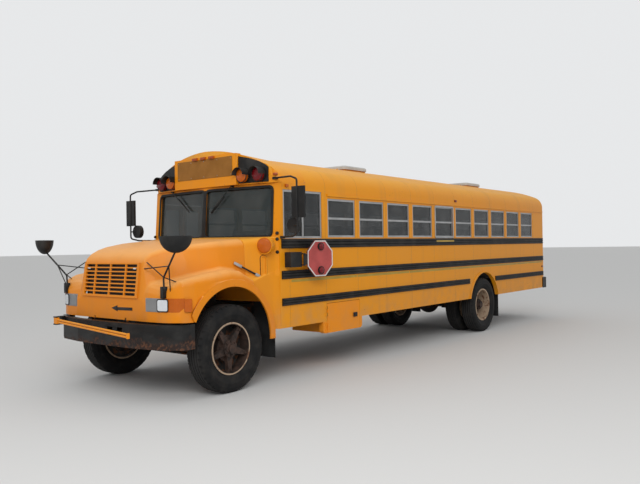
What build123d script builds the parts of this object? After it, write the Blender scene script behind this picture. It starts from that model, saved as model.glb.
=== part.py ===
from build123d import *
from math import atan2, cos, pi, sin
import os

# A conventional long-nose school bus in millimetres. X runs forward, Y to the
# bus's left and Z up from the road. It is laid out from the front axle, and every
# node is moved along X when it is written, which centres the bus on the origin.

# Overall
WHEELBASE = 6452
REAR_AXLE_X = -WHEELBASE
BODY_HALF = 1200            # outside of the side panels
BODY_FRONT = -740           # front corner posts
BODY_REAR = -9610
CORNER_R = 160              # rear corners in plan
WALL_T = 60
SKIRT_Z = 652
FLOOR_Z = 1020
FLOOR_T = 45
SEAT_GAP = 0.3              # between a piece and what carries it
SWING_GAP = 6               # round a door, lid or hatch

# Roof section: crown arc, shoulder arc and the straight side above the eaves
ROOF_Z = 2860
SHOULDER_Z = ROOF_Z - 440
SHOULDER_R = 250
EAVES_Z = ROOF_Z - 560
DRIVER_EAVES_Z = EAVES_Z + 75
DRIVER_EAVES_X = -1680      # behind this the eaves are at EAVES_Z
ROOF_T = 50

# Door and lid hinges: a pin in two fixed knuckles, with a moving one between
HINGE_PIN_R = 5
KNUCKLE_R = 9
KNUCKLE_H = 42
HINGE_OUT = 11              # pin's centre outside the panel
HINGE_PLATE = (36, 6)       # width and thickness of a hinge leaf

# Wheels and tyres
TYRE_R = 500
TYRE_W = 254
TYRE_SIDES = 40             # flats round the tread
AXLE_Z = TYRE_R
BEAD_R = 286
RIM_HALF = 90               # half the width over the rim flanges
FLANGE_R = 298
RIM_T = 12
FRONT_TYRE_Y = 1018
DUAL_OUTER_Y = 1068
DUAL_SPACING = 330
DUAL_INNER_Y = DUAL_OUTER_Y - DUAL_SPACING
HUB_R = 100
SPOKES = 5
KINGPIN_Y = 850
KINGPIN_R = 24
RUNNING_GAP = 0.05          # radial, between a shaft and its hole
SPINDLE_R = 36

# Frame
RAIL_OUT = 432
RAIL_TOP = 910
RAIL_H = 255
RAIL_FLANGE = 80
RAIL_T = 10
FRAME_FRONT = 800
FRAME_REAR = -9480
CROSS_Z = 850               # underside of the cross members, over the drive shaft
TOW_EYE_X = -9420
TOW_EYE_Z = 605
TOW_EYE_R = 22
TOW_EYE_T = 25

# Hood, cowl and arches
HOOD_REAR = -300
HOOD_T = 14
HOOD_LIP_Z = 860
ARCH_X = 50                 # centre of the front arch
ARCH_Z = 600
ARCH_R = 610
FLARE_W = 80                # width of the rolled lip round the arch
REAR_ARCH_R = 605
HOOD_HINGE_X = 828
HOOD_HINGE_Z = 856
HOOD_EAR_Y = 300
HOOD_EAR_T = 24
HOOD_PIN_R = 5
HOOD_EYE_R = 11

# Windows
SILL_Z = 1762
HEAD_Z = EAVES_Z - 21
MID_BAR_Z = (SILL_Z + HEAD_Z) / 2 - 5
WINDOW_PITCH = 727
WINDOW_POST = 100
FIRST_POST_X = -1649
WINDOW_COUNT = 10
DRIVER_WINDOW_X = (-1575, -812)
DRIVER_WINDOW_Z = (SILL_Z - 12, DRIVER_EAVES_Z - 20)
SASH_W = 28
SASH_T = 34
GLASS_T = 6

# Entrance doorway on the right side
DOOR_X = (-1598, -845)
DOOR_TOP = EAVES_Z - 10
STEP_Z = 430
STEP_RISE = 197
STEP_EDGES = (-980, -830, -700)
LEAF_T = 40
MEETING_GAP = 14            # between the closed leaves, for their rubber edges

# Rear emergency doorway
REAR_DOOR_HALF = 470
REAR_DOOR_Z = (1010, EAVES_Z - 70)

# Roof hatches
HATCH_XS = (-3610, -7905)
HATCH_HALF = 290
HATCH_LIP = 30              # lid past the opening all round
HATCH_H = 70
HATCH_RISE = 12             # lid's lower edge over the roof's crown
HATCH_PIN_R = 4
HATCH_EYE_R = 8
HATCH_PIN_OUT = 9           # pin's centre ahead of the lid
HATCH_HINGE_YS = (-150, 150)

# Battery box
BATTERY_X = (-2392, -1661)
BATTERY_Z = (497, 887)
BATTERY_DEPTH = 540

# Rub rails: bottom, top, list of X spans on the left side
RAIL_PROUD = 19
RAILS = (
    (1627, 1745, ((-9440, -770),)),
    (1251, 1353, ((-9440, -770),)),
    (924, 1016, ((-5830, -770), (-9440, -6930))),
)
RIBS = 3

# Seats
ROWS = 10
FIRST_BACK_X = -2210
BENCH_W = 985
CUSHION_Z = 1320
CUSHION_T = 120
CUSHION_L = 380
BACK_T = 110
BACK_TOP = 1930

# Stop arm
STOP_BOX_T = 100
STOP_HINGE = (-1060, BODY_HALF + STOP_BOX_T + 20)
STOP_W = 457
STOP_OPEN = 5.5
STOP_Z = 1494
STOP_PIN_R = 5
STOP_EARS = (1410, 1550)    # underside of the hinge ears
STOP_EAR_T = 14

# Crossing arm
ARM_HINGE = (985, -900)
ARM_Z = 800
ARM_L = 1700
ARM_OPEN = 6
ARM_HUB_H = 36
ARM_PIN_R = 6


def box(x0, x1, y0, y1, z0, z1):
    """Block between two corners."""
    centre = Pos((x0 + x1) / 2, (y0 + y1) / 2, (z0 + z1) / 2)
    return centre * Box(abs(x1 - x0), abs(y1 - y0), abs(z1 - z0))


def side_prism(points, y0, y1):
    """Outline in X and Z, drawn out from y0 to y1."""
    plane = Plane(origin=(0, y1, 0), x_dir=(1, 0, 0), z_dir=(0, -1, 0))
    return extrude(plane * make_face(Polyline(*points, close=True)), y1 - y0)


def cross_prism(points, x0, x1):
    """Outline in Y and Z, drawn out from x0 to x1."""
    plane = Plane(origin=(x0, 0, 0), x_dir=(0, 1, 0), z_dir=(1, 0, 0))
    return extrude(plane * make_face(Polyline(*points, close=True)), x1 - x0)


def plan_prism(points, z0, z1):
    """Outline in X and Y, drawn up from z0 to z1."""
    return extrude(Plane.XY.offset(z0) * make_face(Polyline(*points, close=True)), z1 - z0)


def drum(r, y0, y1, x=0, z=0, hole=0):
    """Disc or ring about an axis along Y."""
    plane = Plane(origin=(x, y1, z), x_dir=(1, 0, 0), z_dir=(0, -1, 0))
    face = Circle(r) - Circle(hole) if hole else Circle(r)
    return extrude(plane * face, y1 - y0)


def rod(start, end, r):
    """Round bar between two points."""
    a, b = Vector(*start), Vector(*end)
    return extrude(Plane(origin=a, z_dir=b - a) * Circle(r), (b - a).length)


def turned(points):
    """Outline of radius and Y, turned about the Y axis."""
    return revolve(make_face(Polyline(*points, close=True)), axis=Axis.Y)


def tube(points, bend, r):
    """Round tube along straight runs joined by bends."""
    path = FilletPolyline(*points, radius=bend)
    return sweep(Plane(origin=path @ 0, z_dir=path % 0) * Circle(r), path=path)


def mirrored(shape):
    """The same shape on the bus's other side."""
    return mirror(shape, about=Plane.XZ)


def both(shape):
    """A shape and its mirror image on the other side."""
    return [shape, mirrored(shape)]


def hinge_halves(x, y, z, along, out):
    """Fixed and moving half of a hinge. The door lies along `along`, outside is `out`."""
    gap = SEAT_GAP
    seat = Vector(*out) * -HINGE_OUT
    pin = Cylinder(HINGE_PIN_R, 3 * KNUCKLE_H)
    middle = Cylinder(KNUCKLE_R, KNUCKLE_H - 2 * gap)
    fixed = pin
    for end in (-1, 1):
        fixed += Pos(0, 0, end * KNUCKLE_H) * Cylinder(KNUCKLE_R, KNUCKLE_H)
        fixed += hinge_leaf(Vector(*along) * -1, seat, Vector(*out), end * KNUCKLE_H, KNUCKLE_H)
    moving = middle + hinge_leaf(Vector(*along), seat, Vector(*out), 0, KNUCKLE_H - 2 * gap)
    moving -= Cylinder(HINGE_PIN_R + RUNNING_GAP, KNUCKLE_H)
    return Pos(x, y, z) * fixed, Pos(x, y, z) * moving


def hinge_leaf(reach, seat, out, z, height):
    """Plate of a hinge from its knuckle onto the panel's face."""
    width, thick = HINGE_PLATE
    near, far = reach * 3.5, reach * (HINGE_OUT + width)
    low, high = seat - out, seat + out * thick
    xs = sorted((near.X, far.X)) if abs(reach.X) > 0.5 else sorted((low.X, high.X))
    ys = sorted((near.Y, far.Y)) if abs(reach.Y) > 0.5 else sorted((low.Y, high.Y))
    return box(*xs, *ys, z - height / 2, z + height / 2)


def window_spans():
    """X spans of the passenger windows, front first."""
    for index in range(WINDOW_COUNT):
        front = FIRST_POST_X - WINDOW_PITCH * index - WINDOW_POST / 2
        yield front - WINDOW_PITCH + WINDOW_POST, front


# Running gear

TYRE_RINGS = (              # Y from the middle and radius, from sidewall to tread
    (TYRE_W / 2, TYRE_R - 109), (TYRE_W / 2 - 6, TYRE_R - 50),
    (TYRE_W / 2 - 27, TYRE_R - 8), (TYRE_W / 2 - 55, TYRE_R),
)


def ring_points(y, r):
    """Corners of the tyre's flat-sided ring at a distance from its middle."""
    reach = r / cos(pi / TYRE_SIDES)
    for index in range(TYRE_SIDES):
        turn = (2 * index + 1) * pi / TYRE_SIDES
        yield Vector(reach * cos(turn), y, reach * sin(turn))


def tyre():
    """One flat-sided tyre about its own centre, dished from the sidewalls to the beads."""
    bead = RIM_HALF - 8
    rings = list(TYRE_RINGS) + [(-y, r) for y, r in reversed(TYRE_RINGS)]
    rings += [(-bead, BEAD_R + 14), (-bead, BEAD_R), (bead, BEAD_R), (bead, BEAD_R + 14)]
    rows = [list(ring_points(y, r)) for y, r in rings]
    faces = []
    for row, beyond in zip(rows, rows[1:] + rows[:1]):
        for index, corner in enumerate(row):
            corners = (row[index - 1], corner, beyond[index], beyond[index - 1])
            faces.append(make_face(Polyline(*corners, close=True)).face())
    return Solid(Shell(faces))


def rim():
    """Demountable rim ring that the tyre seats on."""
    bead = RIM_HALF - 8
    seat = BEAD_R - SEAT_GAP
    profile = (
        (seat - RIM_T, -RIM_HALF), (FLANGE_R, -RIM_HALF), (FLANGE_R, -bead - SEAT_GAP),
        (seat, -bead - SEAT_GAP), (seat, bead + SEAT_GAP), (FLANGE_R, bead + SEAT_GAP),
        (FLANGE_R, RIM_HALF), (seat - RIM_T, RIM_HALF),
    )
    return turned(profile)


def spider(y0, y1):
    """Cast hub spokes that clamp the rim ring, with one spoke pointing down."""
    reach = BEAD_R - RIM_T - SEAT_GAP
    spoke = plan_prism(((HUB_R - 20, -46), (reach - 30, -24), (reach + 4, -34),
                        (reach + 4, 34), (reach - 30, 24), (HUB_R - 20, 46)), y0, y1)
    arms = Rot(90, 0, 0) * spoke
    arms = Pos(0, y0 + y1, 0) * arms
    shape = drum(HUB_R, y0, y1)
    for index in range(SPOKES):
        shape += Rot(0, 90 + index * 360 / SPOKES, 0) * arms
    return shape & drum(reach + 2, y0 - 1, y1 + 1)


def front_wheel():
    """Rim ring, cast spoke hub and brake drum, turning on the spindle."""
    shape = rim() + spider(10, 60)
    shape += drum(HUB_R, -70, 80)
    shape += drum(55, 80, 118)
    shape += drum(205, -138, -62) + drum(150, -62, 12)
    shape -= drum(SPINDLE_R + RUNNING_GAP, -160, 60)
    shape -= drum(190, -160, -94)
    return shape


def rear_wheels():
    """Twin rims on one cast spoke hub; the origin is at the outer tyre's centre."""
    shape = rim() + Pos(0, -DUAL_SPACING, 0) * rim()
    shape += drum(BEAD_R - RIM_T + 2, -DUAL_SPACING + RIM_HALF, -RIM_HALF, hole=BEAD_R - RIM_T - 12)
    shape += spider(-DUAL_SPACING / 2 - 30, -DUAL_SPACING / 2 + 70)
    shape += drum(HUB_R, -DUAL_SPACING - 90, 20)
    shape += drum(62, 20, 60)
    shape += drum(205, -DUAL_SPACING - 60, -DUAL_SPACING / 2 - 30)
    shape -= drum(SPINDLE_R + 10 + RUNNING_GAP, -DUAL_SPACING - 100, -40)
    return shape


def knuckle():
    """Left steering knuckle: fork, kingpin, spindle and steering arm."""
    shape = box(-52, 52, KINGPIN_Y - 45, KINGPIN_Y + 48, AXLE_Z + 62, AXLE_Z + 92)
    shape += box(-52, 52, KINGPIN_Y - 45, KINGPIN_Y + 48, AXLE_Z - 92, AXLE_Z - 62)
    shape += box(-52, 52, KINGPIN_Y + 50, KINGPIN_Y + 72, AXLE_Z - 92, AXLE_Z + 92)
    shape += box(-52, 52, KINGPIN_Y + 40, KINGPIN_Y + 52, AXLE_Z + 62, AXLE_Z + 92)
    shape += box(-52, 52, KINGPIN_Y + 40, KINGPIN_Y + 52, AXLE_Z - 92, AXLE_Z - 62)
    shape += Pos(0, KINGPIN_Y, AXLE_Z) * Cylinder(KINGPIN_R, 184)
    shape += drum(SPINDLE_R, KINGPIN_Y + 60, FRONT_TYRE_Y + 50, z=AXLE_Z)
    shape += rod((-30, KINGPIN_Y, TIE_PIVOT[2]), TIE_PIVOT, 18)
    shape += Pos(*TIE_PIVOT) * Cylinder(TIE_BOSS_R, 2 * TIE_BOSS_H)
    return shape


TIE_PIVOT = (-240, KINGPIN_Y, AXLE_Z - 81)
TIE_BOSS_R = 26
TIE_BOSS_H = 19             # half the height of the arm's boss
TIE_BAR_R = 17
TIE_BAR_Z = TIE_PIVOT[2] - TIE_BOSS_H - TIE_BAR_R - 4


def tie_rod():
    """Rod behind the axle that makes both knuckles steer alike."""
    x, y, z = TIE_PIVOT
    shape = rod((x, -y, TIE_BAR_Z), (x, y, TIE_BAR_Z), TIE_BAR_R)
    for side in (-1, 1):
        shape += rod((x, side * y, TIE_BAR_Z - TIE_BOSS_R), (x, side * y, z - TIE_BOSS_H - SEAT_GAP),
                     TIE_BOSS_R - 2)
    return shape


def leaf_spring(x, y, z_low, length, leaves):
    """Stack of leaves, longest on top, with an eye at each end of the main leaf."""
    shape = None
    for index in range(leaves):
        reach = length * (1 - 0.14 * index) / 2
        top = z_low + LEAF_STEEL * (leaves - index)
        plate = box(x - reach, x + reach, y - SPRING_W / 2, y + SPRING_W / 2, top - LEAF_STEEL, top)
        shape = plate if shape is None else shape + plate
    for side in (-1, 1):
        shape += drum(30, y - SPRING_W / 2, y + SPRING_W / 2, x=x + side * length / 2, z=z_low + EYE_RISE)
    return shape


def front_axle():
    """Forged I-beam dropped between the kingpins, with its springs."""
    outline = ((-KINGPIN_Y + 40, AXLE_Z - 50), (-KINGPIN_Y + 40, AXLE_Z + 50), (-620, AXLE_Z + 20),
               (-540, AXLE_Z - 30), (540, AXLE_Z - 30), (620, AXLE_Z + 20),
               (KINGPIN_Y - 40, AXLE_Z + 50), (KINGPIN_Y - 40, AXLE_Z - 50), (620, AXLE_Z - 80),
               (540, AXLE_Z - 130), (-540, AXLE_Z - 130), (-620, AXLE_Z - 80))
    beam = cross_prism(outline, -45, 45)
    web = cross_prism(((-600, AXLE_Z - 110), (-600, AXLE_Z - 50), (600, AXLE_Z - 50), (600, AXLE_Z - 110)),
                      12, 50)
    beam -= [web, Rot(0, 0, 180) * web]
    for side in (-1, 1):
        beam += Pos(0, side * KINGPIN_Y, AXLE_Z) * Cylinder(46, 2 * (62 - SEAT_GAP))
        beam -= Pos(0, side * KINGPIN_Y, AXLE_Z) * Cylinder(KINGPIN_R + RUNNING_GAP, 130)
        beam += box(-110, 110, side * SPRING_Y - 50, side * SPRING_Y + 50, AXLE_Z - 32, AXLE_Z + 4)
        beam += leaf_spring(0, side * SPRING_Y, FRONT_SPRING_Z, FRONT_SPRING_L, 5)
    return beam


SPRING_Y = RAIL_OUT - RAIL_FLANGE / 2
SPRING_W = 76
LEAF_STEEL = 12
FRONT_SPRING_L = 1250
REAR_SPRING_L = 1450
FRONT_SPRING_Z = AXLE_Z + 2     # underside of the spring pack at the axle
REAR_SPRING_Z = AXLE_Z + 38
EYE_RISE = 5 * LEAF_STEEL + 14  # eye centre above that underside


def rear_axle():
    """Axle housing with its differential, springs and drive shaft."""
    spindle_end = DUAL_OUTER_Y - 60
    shape = drum(SPINDLE_R + 10, -spindle_end, spindle_end, x=REAR_AXLE_X, z=AXLE_Z)
    shape += drum(75, -DUAL_INNER_Y + 120, DUAL_INNER_Y - 120, x=REAR_AXLE_X, z=AXLE_Z)
    shape += Pos(REAR_AXLE_X, 0, AXLE_Z) * Sphere(205)
    shape += rod((REAR_AXLE_X, 0, AXLE_Z), (REAR_AXLE_X + 330, 0, AXLE_Z + 12), 90)
    shape += rod((REAR_AXLE_X + 320, 0, AXLE_Z + 12), (GEARBOX_REAR - 20, 0, GEARBOX_Z), 45)
    for side in (-1, 1):
        y = side * SPRING_Y
        shape += box(REAR_AXLE_X - 100, REAR_AXLE_X + 100, y - 50, y + 50, AXLE_Z - 85, AXLE_Z + 44)
        shape += leaf_spring(REAR_AXLE_X, y, REAR_SPRING_Z, REAR_SPRING_L, 5)
    return shape


ENGINE_X = (-520, 540)
GEARBOX_REAR = -1450
GEARBOX_Z = 800


def engine_block():
    """Engine and gearbox as plain blocks at their real place."""
    shape = box(ENGINE_X[0], ENGINE_X[1], -290, 290, 760, 1400)
    shape += box(ENGINE_X[0], ENGINE_X[1], -180, 180, 640, 760)
    shape += box(ENGINE_X[0] - 180, ENGINE_X[0], -240, 240, 640, FLOOR_Z - FLOOR_T - 15)
    shape += box(GEARBOX_REAR, ENGINE_X[0] - 180, -170, 170, 650, 960)
    web = RAIL_OUT - RAIL_T - SEAT_GAP
    return shape + box(-60, 60, -web, web, 820, 880)


def radiator():
    """Radiator in its shroud between the frame rails' front ends."""
    shape = box(640, 720, -360, 360, RAIL_TOP + SEAT_GAP, 1430)
    shape -= box(600, 655, -320, 320, RAIL_TOP + 60, 1390)
    return shape


def chassis_frame():
    """Two channel rails with cross members, hangers, tow eyes and hood hinge ears."""
    inner = RAIL_OUT - RAIL_FLANGE
    low = RAIL_TOP - RAIL_H
    channel = ((RAIL_OUT, low), (RAIL_OUT, RAIL_TOP), (inner, RAIL_TOP), (inner, RAIL_TOP - RAIL_T),
               (RAIL_OUT - RAIL_T, RAIL_TOP - RAIL_T), (RAIL_OUT - RAIL_T, low + RAIL_T),
               (inner, low + RAIL_T), (inner, low))
    members = both(cross_prism(channel, FRAME_REAR, FRAME_FRONT))
    web = RAIL_OUT - RAIL_T - SEAT_GAP
    for x in CROSS_XS:
        members.append(box(x - CROSS_HALF, x + CROSS_HALF, -web, web, CROSS_Z, CROSS_TOP))
    hangers = ((0, FRONT_SPRING_L, FRONT_SPRING_Z + EYE_RISE),
               (REAR_AXLE_X, REAR_SPRING_L, REAR_SPRING_Z + EYE_RISE))
    cheek = SPRING_W / 2 + SEAT_GAP
    for centre, length, eye_z in hangers:
        for end in (-1, 1):
            x = centre + end * length / 2
            shackle = box(x - 34, x + 34, SPRING_Y - cheek - 12, SPRING_Y + cheek + 12,
                          eye_z - 20, low - SEAT_GAP)
            shackle -= box(x - 35, x + 35, SPRING_Y - cheek, SPRING_Y + cheek, eye_z - 21, low - 8)
            members += both(shackle)
    for side in (-1, 1):
        members.append(hood_ear(side))
        members.append(tow_eye(side, low - SEAT_GAP))
    return members


CROSS_HALF = 40
CROSS_TOP = RAIL_TOP - RAIL_T - 2
CROSS_XS = (FRAME_FRONT - 60, -1700, -2900, -4100, -5300, -5800, -7150, -8200, FRAME_REAR + 60)


def hood_ear(side):
    """Ear ahead of the front cross member, with the pin that the hood tilts on."""
    back = CROSS_XS[0] + CROSS_HALF + SEAT_GAP
    y0, y1 = HOOD_EAR_Y - HOOD_EAR_T / 2, HOOD_EAR_Y + HOOD_EAR_T / 2
    ear = side_prism(((back, CROSS_Z), (HOOD_HINGE_X, HOOD_HINGE_Z - HOOD_EYE_R),
                      (HOOD_HINGE_X, HOOD_HINGE_Z + HOOD_EYE_R),
                      (back, CROSS_TOP)), y0, y1)
    ear += drum(HOOD_EYE_R, y0, y1, x=HOOD_HINGE_X, z=HOOD_HINGE_Z)
    ear += drum(HOOD_PIN_R, y0, y1 + SEAT_GAP + HOOD_LUG_T, x=HOOD_HINGE_X, z=HOOD_HINGE_Z)
    return ear if side > 0 else mirrored(ear)


def tow_eye(side, top):
    """Bored plate under the frame rail's rear end."""
    y0, y1 = side * SPRING_Y - TOW_EYE_T / 2, side * SPRING_Y + TOW_EYE_T / 2
    eye = side_prism(((TOW_EYE_X - 50, TOW_EYE_Z - 20), (TOW_EYE_X - 20, TOW_EYE_Z - 48),
                      (TOW_EYE_X + 30, TOW_EYE_Z - 48),
                      (TOW_EYE_X + 130, top), (TOW_EYE_X - 50, top)), y0, y1)
    return eye - drum(TOW_EYE_R, y0 - 1, y1 + 1, x=TOW_EYE_X, z=TOW_EYE_Z)


TANK_X = (-3500, -2300)
TANK_Z = (520, 900)


def fuel_tank():
    """Tank on the right between the frame rail and the skirt, with its straps."""
    outer = -BODY_HALF + 110
    inner = -RAIL_OUT - 48
    tank = box(*TANK_X, outer, inner, *TANK_Z)
    tank = fillet(tank.edges().filter_by(Axis.X), 60)
    for x in (TANK_X[0] + 250, TANK_X[1] - 250):
        tank += box(x - 30, x + 30, outer - 6, inner + 6, TANK_Z[0] - 6, TANK_Z[1] + 6)
        tank += box(x - 30, x + 30, inner, -RAIL_OUT - SEAT_GAP, RAIL_TOP - 210, RAIL_TOP - 50)
    return tank


def exhaust():
    """Pipe, muffler and tailpipe along the left frame rail."""
    pipe = tube(((-700, 540, 740), (-2900, 540, 740), (-3200, 540, 700), (-5300, 540, 700),
                 (-5700, 530, 860), (-7200, 530, 860), (-7600, 560, 700), (-9560, 560, 700)), 120, 45)
    muffler = rod((-4700, 545, 690), (-3700, 545, 690), 105)
    pipe += muffler
    for x in (-2700, -5000, -8600):
        pipe += box(x - 15, x + 15, RAIL_OUT + SEAT_GAP, 545, 715, 745)
    return pipe


# Bumpers

BUMPER_Z = (575, 840)
BUMPER_PLAN = ((650, 1170), (740, 1150), (880, 900), (940, 500), (950, 0))
BUMPER_T = 8
BRACKET_T = 14


def front_bumper():
    """Pressed channel bumper, swept back at its ends, on two frame horns."""
    outer = list(BUMPER_PLAN) + [(x, -y) for x, y in reversed(BUMPER_PLAN[:-1])]
    deep = 75
    inner = [(x - deep, y * 0.985) for x, y in reversed(outer)]
    hollow_front = [(x - BUMPER_T, y * 0.995) for x, y in outer]
    hollow_back = [(x - deep - 20, y * 0.98) for x, y in reversed(outer)]
    shape = plan_prism(outer + inner, *BUMPER_Z)
    shape -= plan_prism(hollow_front + hollow_back, BUMPER_Z[0] + BUMPER_T, BUMPER_Z[1] - BUMPER_T)
    for y in (150, 330):
        shape -= box(900, 1000, y - 50, y + 50, 690, 790)
    for side in (-1, 1):
        shape += box(FRAME_FRONT + SEAT_GAP, 940, side * (RAIL_OUT - 60), side * RAIL_OUT, 680, 800)
    x, y = ARM_HINGE
    for z in (ARM_Z - ARM_HUB_H - SEAT_GAP - BRACKET_T, ARM_Z + ARM_HUB_H + SEAT_GAP):
        shape += box(x - 110, x + 18, y - 30, y + 30, z, z + BRACKET_T)
    shape += Pos(x, y, ARM_Z) * Cylinder(ARM_PIN_R, 2 * (ARM_HUB_H + BRACKET_T))
    height = ARM_HUB_H + BRACKET_T
    return shape + box(x - 110, x - 60, y - 30, y + 30, ARM_Z - height, ARM_Z + height)


REAR_BUMPER_Z = (645, 873)


def rear_bumper():
    """Flat pressed bumper that wraps the rear corners."""
    outer = box(BODY_REAR - 100, -9420, -BODY_HALF - 12, BODY_HALF + 12, *REAR_BUMPER_Z)
    outer = fillet(outer.edges().filter_by(Axis.Z).group_by(Axis.X)[0], 120)
    inner = box(BODY_REAR - 88, -9300, -BODY_HALF, BODY_HALF, REAR_BUMPER_Z[0] - 1, REAR_BUMPER_Z[1] + 1)
    inner = fillet(inner.edges().filter_by(Axis.Z).group_by(Axis.X)[0], 108)
    shape = outer - inner
    for side in (-1, 1):
        rails = (side * (RAIL_OUT - 60), side * RAIL_OUT)
        shape += box(BODY_REAR - 90, FRAME_REAR - SEAT_GAP, *rails, 700, 820)
    return shape


# Body shell

def body_ring(z0, z1, inset=0):
    """Upright wall all round the body, open at the front."""
    outer = box(BODY_REAR + inset, BODY_FRONT, -BODY_HALF + inset, BODY_HALF - inset, z0, z1)
    outer = fillet(outer.edges().filter_by(Axis.Z).group_by(Axis.X)[0], CORNER_R - inset)
    cut = inset + WALL_T
    inner = box(BODY_REAR + cut, BODY_FRONT + 1, -BODY_HALF + cut, BODY_HALF - cut, z0 - 1, z1 + 1)
    inner = fillet(inner.edges().filter_by(Axis.Z).group_by(Axis.X)[0], CORNER_R - cut)
    return outer - inner


REAR_SPLIT = BODY_REAR + 210
WHEEL_HOUSE_R = REAR_ARCH_R + 15


def side_wall():
    """Left side wall with its window and arch cut-outs."""
    wall = body_ring(SKIRT_Z, EAVES_Z) & box(REAR_SPLIT, BODY_FRONT, 0, BODY_HALF + 1, SKIRT_Z, EAVES_Z)
    wall += box(DRIVER_EAVES_X, BODY_FRONT, BODY_HALF - WALL_T, BODY_HALF, EAVES_Z - 1, DRIVER_EAVES_Z)
    for rear, front in window_spans():
        wall -= box(rear, front, BODY_HALF - 200, BODY_HALF + 50, SILL_Z, HEAD_Z)
    lean = FRONT_LEAN * (DRIVER_EAVES_Z - SILL_Z)
    wall -= side_prism(((BODY_FRONT, SILL_Z), (BODY_FRONT + lean, DRIVER_EAVES_Z), (BODY_FRONT + lean, 2500),
                        (BODY_FRONT + 50, 2500), (BODY_FRONT + 50, SILL_Z)), BODY_HALF - 100, BODY_HALF + 100)
    wall -= drum(REAR_ARCH_R, BODY_HALF - 200, BODY_HALF + 50, x=REAR_AXLE_X, z=AXLE_Z)
    lip = drum(REAR_ARCH_R + 28, BODY_HALF - 30, BODY_HALF + 16, x=REAR_AXLE_X, z=AXLE_Z, hole=REAR_ARCH_R)
    wall += lip & box(REAR_AXLE_X - 700, REAR_AXLE_X + 700, BODY_HALF - 100, BODY_HALF + 100,
                      SKIRT_Z, 1200)
    return wall


def left_wall():
    """Left wall with the driver's window and the battery box doorway."""
    wall = side_wall()
    wall -= box(*DRIVER_WINDOW_X, BODY_HALF - 200, BODY_HALF + 50, *DRIVER_WINDOW_Z)
    wall -= box(BATTERY_X[0] - SWING_GAP, BATTERY_X[1] + SWING_GAP, BODY_HALF - 200, BODY_HALF + 50,
                SKIRT_Z - 10, BATTERY_Z[1] + SWING_GAP)
    return wall + battery_hinge(BATTERY_HINGE_ZS[1])[0]


def right_wall():
    """Right wall in three panels: behind, over and ahead of the entrance doorway."""
    wall = mirrored(side_wall())
    rear = wall & box(BODY_REAR, DOOR_X[0], -BODY_HALF - 100, 0, SKIRT_Z - 1, DRIVER_EAVES_Z + 1)
    header = wall & box(DOOR_X[0] + SEAT_GAP, DOOR_X[1] - SEAT_GAP, -BODY_HALF - 1, 0,
                        DOOR_TOP, DRIVER_EAVES_Z + 1)
    post = wall & box(DOOR_X[1], BODY_FRONT + 1, -BODY_HALF - 1, 0, SKIRT_Z - 1, DRIVER_EAVES_Z + 1)
    for z in DOOR_HINGE_ZS:
        rear += entrance_hinge(0, z)[0]
        post += entrance_hinge(1, z)[0]
    return [rear, header, post]


DOOR_HINGE_ZS = (780, 1500, DOOR_TOP - 100)


def entrance_hinge(end, z):
    """Hinge of the rear leaf, end 0, or the front leaf, end 1."""
    along = 1 - 2 * end
    x = DOOR_X[end] + along * SWING_GAP / 2
    return hinge_halves(x, -BODY_HALF - HINGE_OUT, z, (along, 0, 0), (0, -1, 0))


BATTERY_HINGE_ZS = (575, 790)


def battery_hinge(z):
    """Hinge at the battery door's front edge."""
    return hinge_halves(BATTERY_X[1] + SWING_GAP / 2, BODY_HALF + HINGE_OUT, z, (-1, 0, 0), (0, 1, 0))


REAR_HINGE_ZS = (1110, 1560, REAR_DOOR_Z[1] - 100)


def rear_hinge(z):
    """Hinge at the emergency door's right edge."""
    return hinge_halves(BODY_REAR - HINGE_OUT, -REAR_DOOR_HALF - SWING_GAP / 2, z, (0, 1, 0), (-1, 0, 0))


def rear_wall():
    """Rear wall and corners, with the emergency doorway and two fixed windows."""
    top = EAVES_Z
    wall = body_ring(REAR_BUMPER_Z[1] + 5, top)
    wall &= box(BODY_REAR - 1, REAR_SPLIT, -BODY_HALF - 100, BODY_HALF + 100, 600, top)
    wall -= box(BODY_REAR - 50, BODY_REAR + 200, -REAR_DOOR_HALF - SWING_GAP, REAR_DOOR_HALF + SWING_GAP,
                REAR_DOOR_Z[0] - SWING_GAP, REAR_DOOR_Z[1] + SWING_GAP)
    for side in (-1, 1):
        wall -= box(BODY_REAR - 50, BODY_REAR + 200, side * REAR_PANE_Y[0], side * REAR_PANE_Y[1],
                    *REAR_PANE_Z)
    for y in (PLATE_Y - PLATE_HOLES[0] / 2, PLATE_Y + PLATE_HOLES[0] / 2):
        for z in (PLATE_Z - PLATE_HOLES[1] / 2, PLATE_Z + PLATE_HOLES[1] / 2):
            wall -= rod((BODY_REAR - 1, y, z), (BODY_REAR + 25, y, z), PLATE_HOLE_R)
    for z in REAR_HINGE_ZS:
        wall += rear_hinge(z)[0]
    return wall


REAR_PANE_Y = (560, 1020)
REAR_PANE_Z = (1700, REAR_DOOR_Z[1] - 10)
PLATE_Y = 760               # bare plate place on the rear wall
PLATE_Z = 1250
PLATE_HOLES = (178, 121)
PLATE_HOLE_R = 3.5


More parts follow.
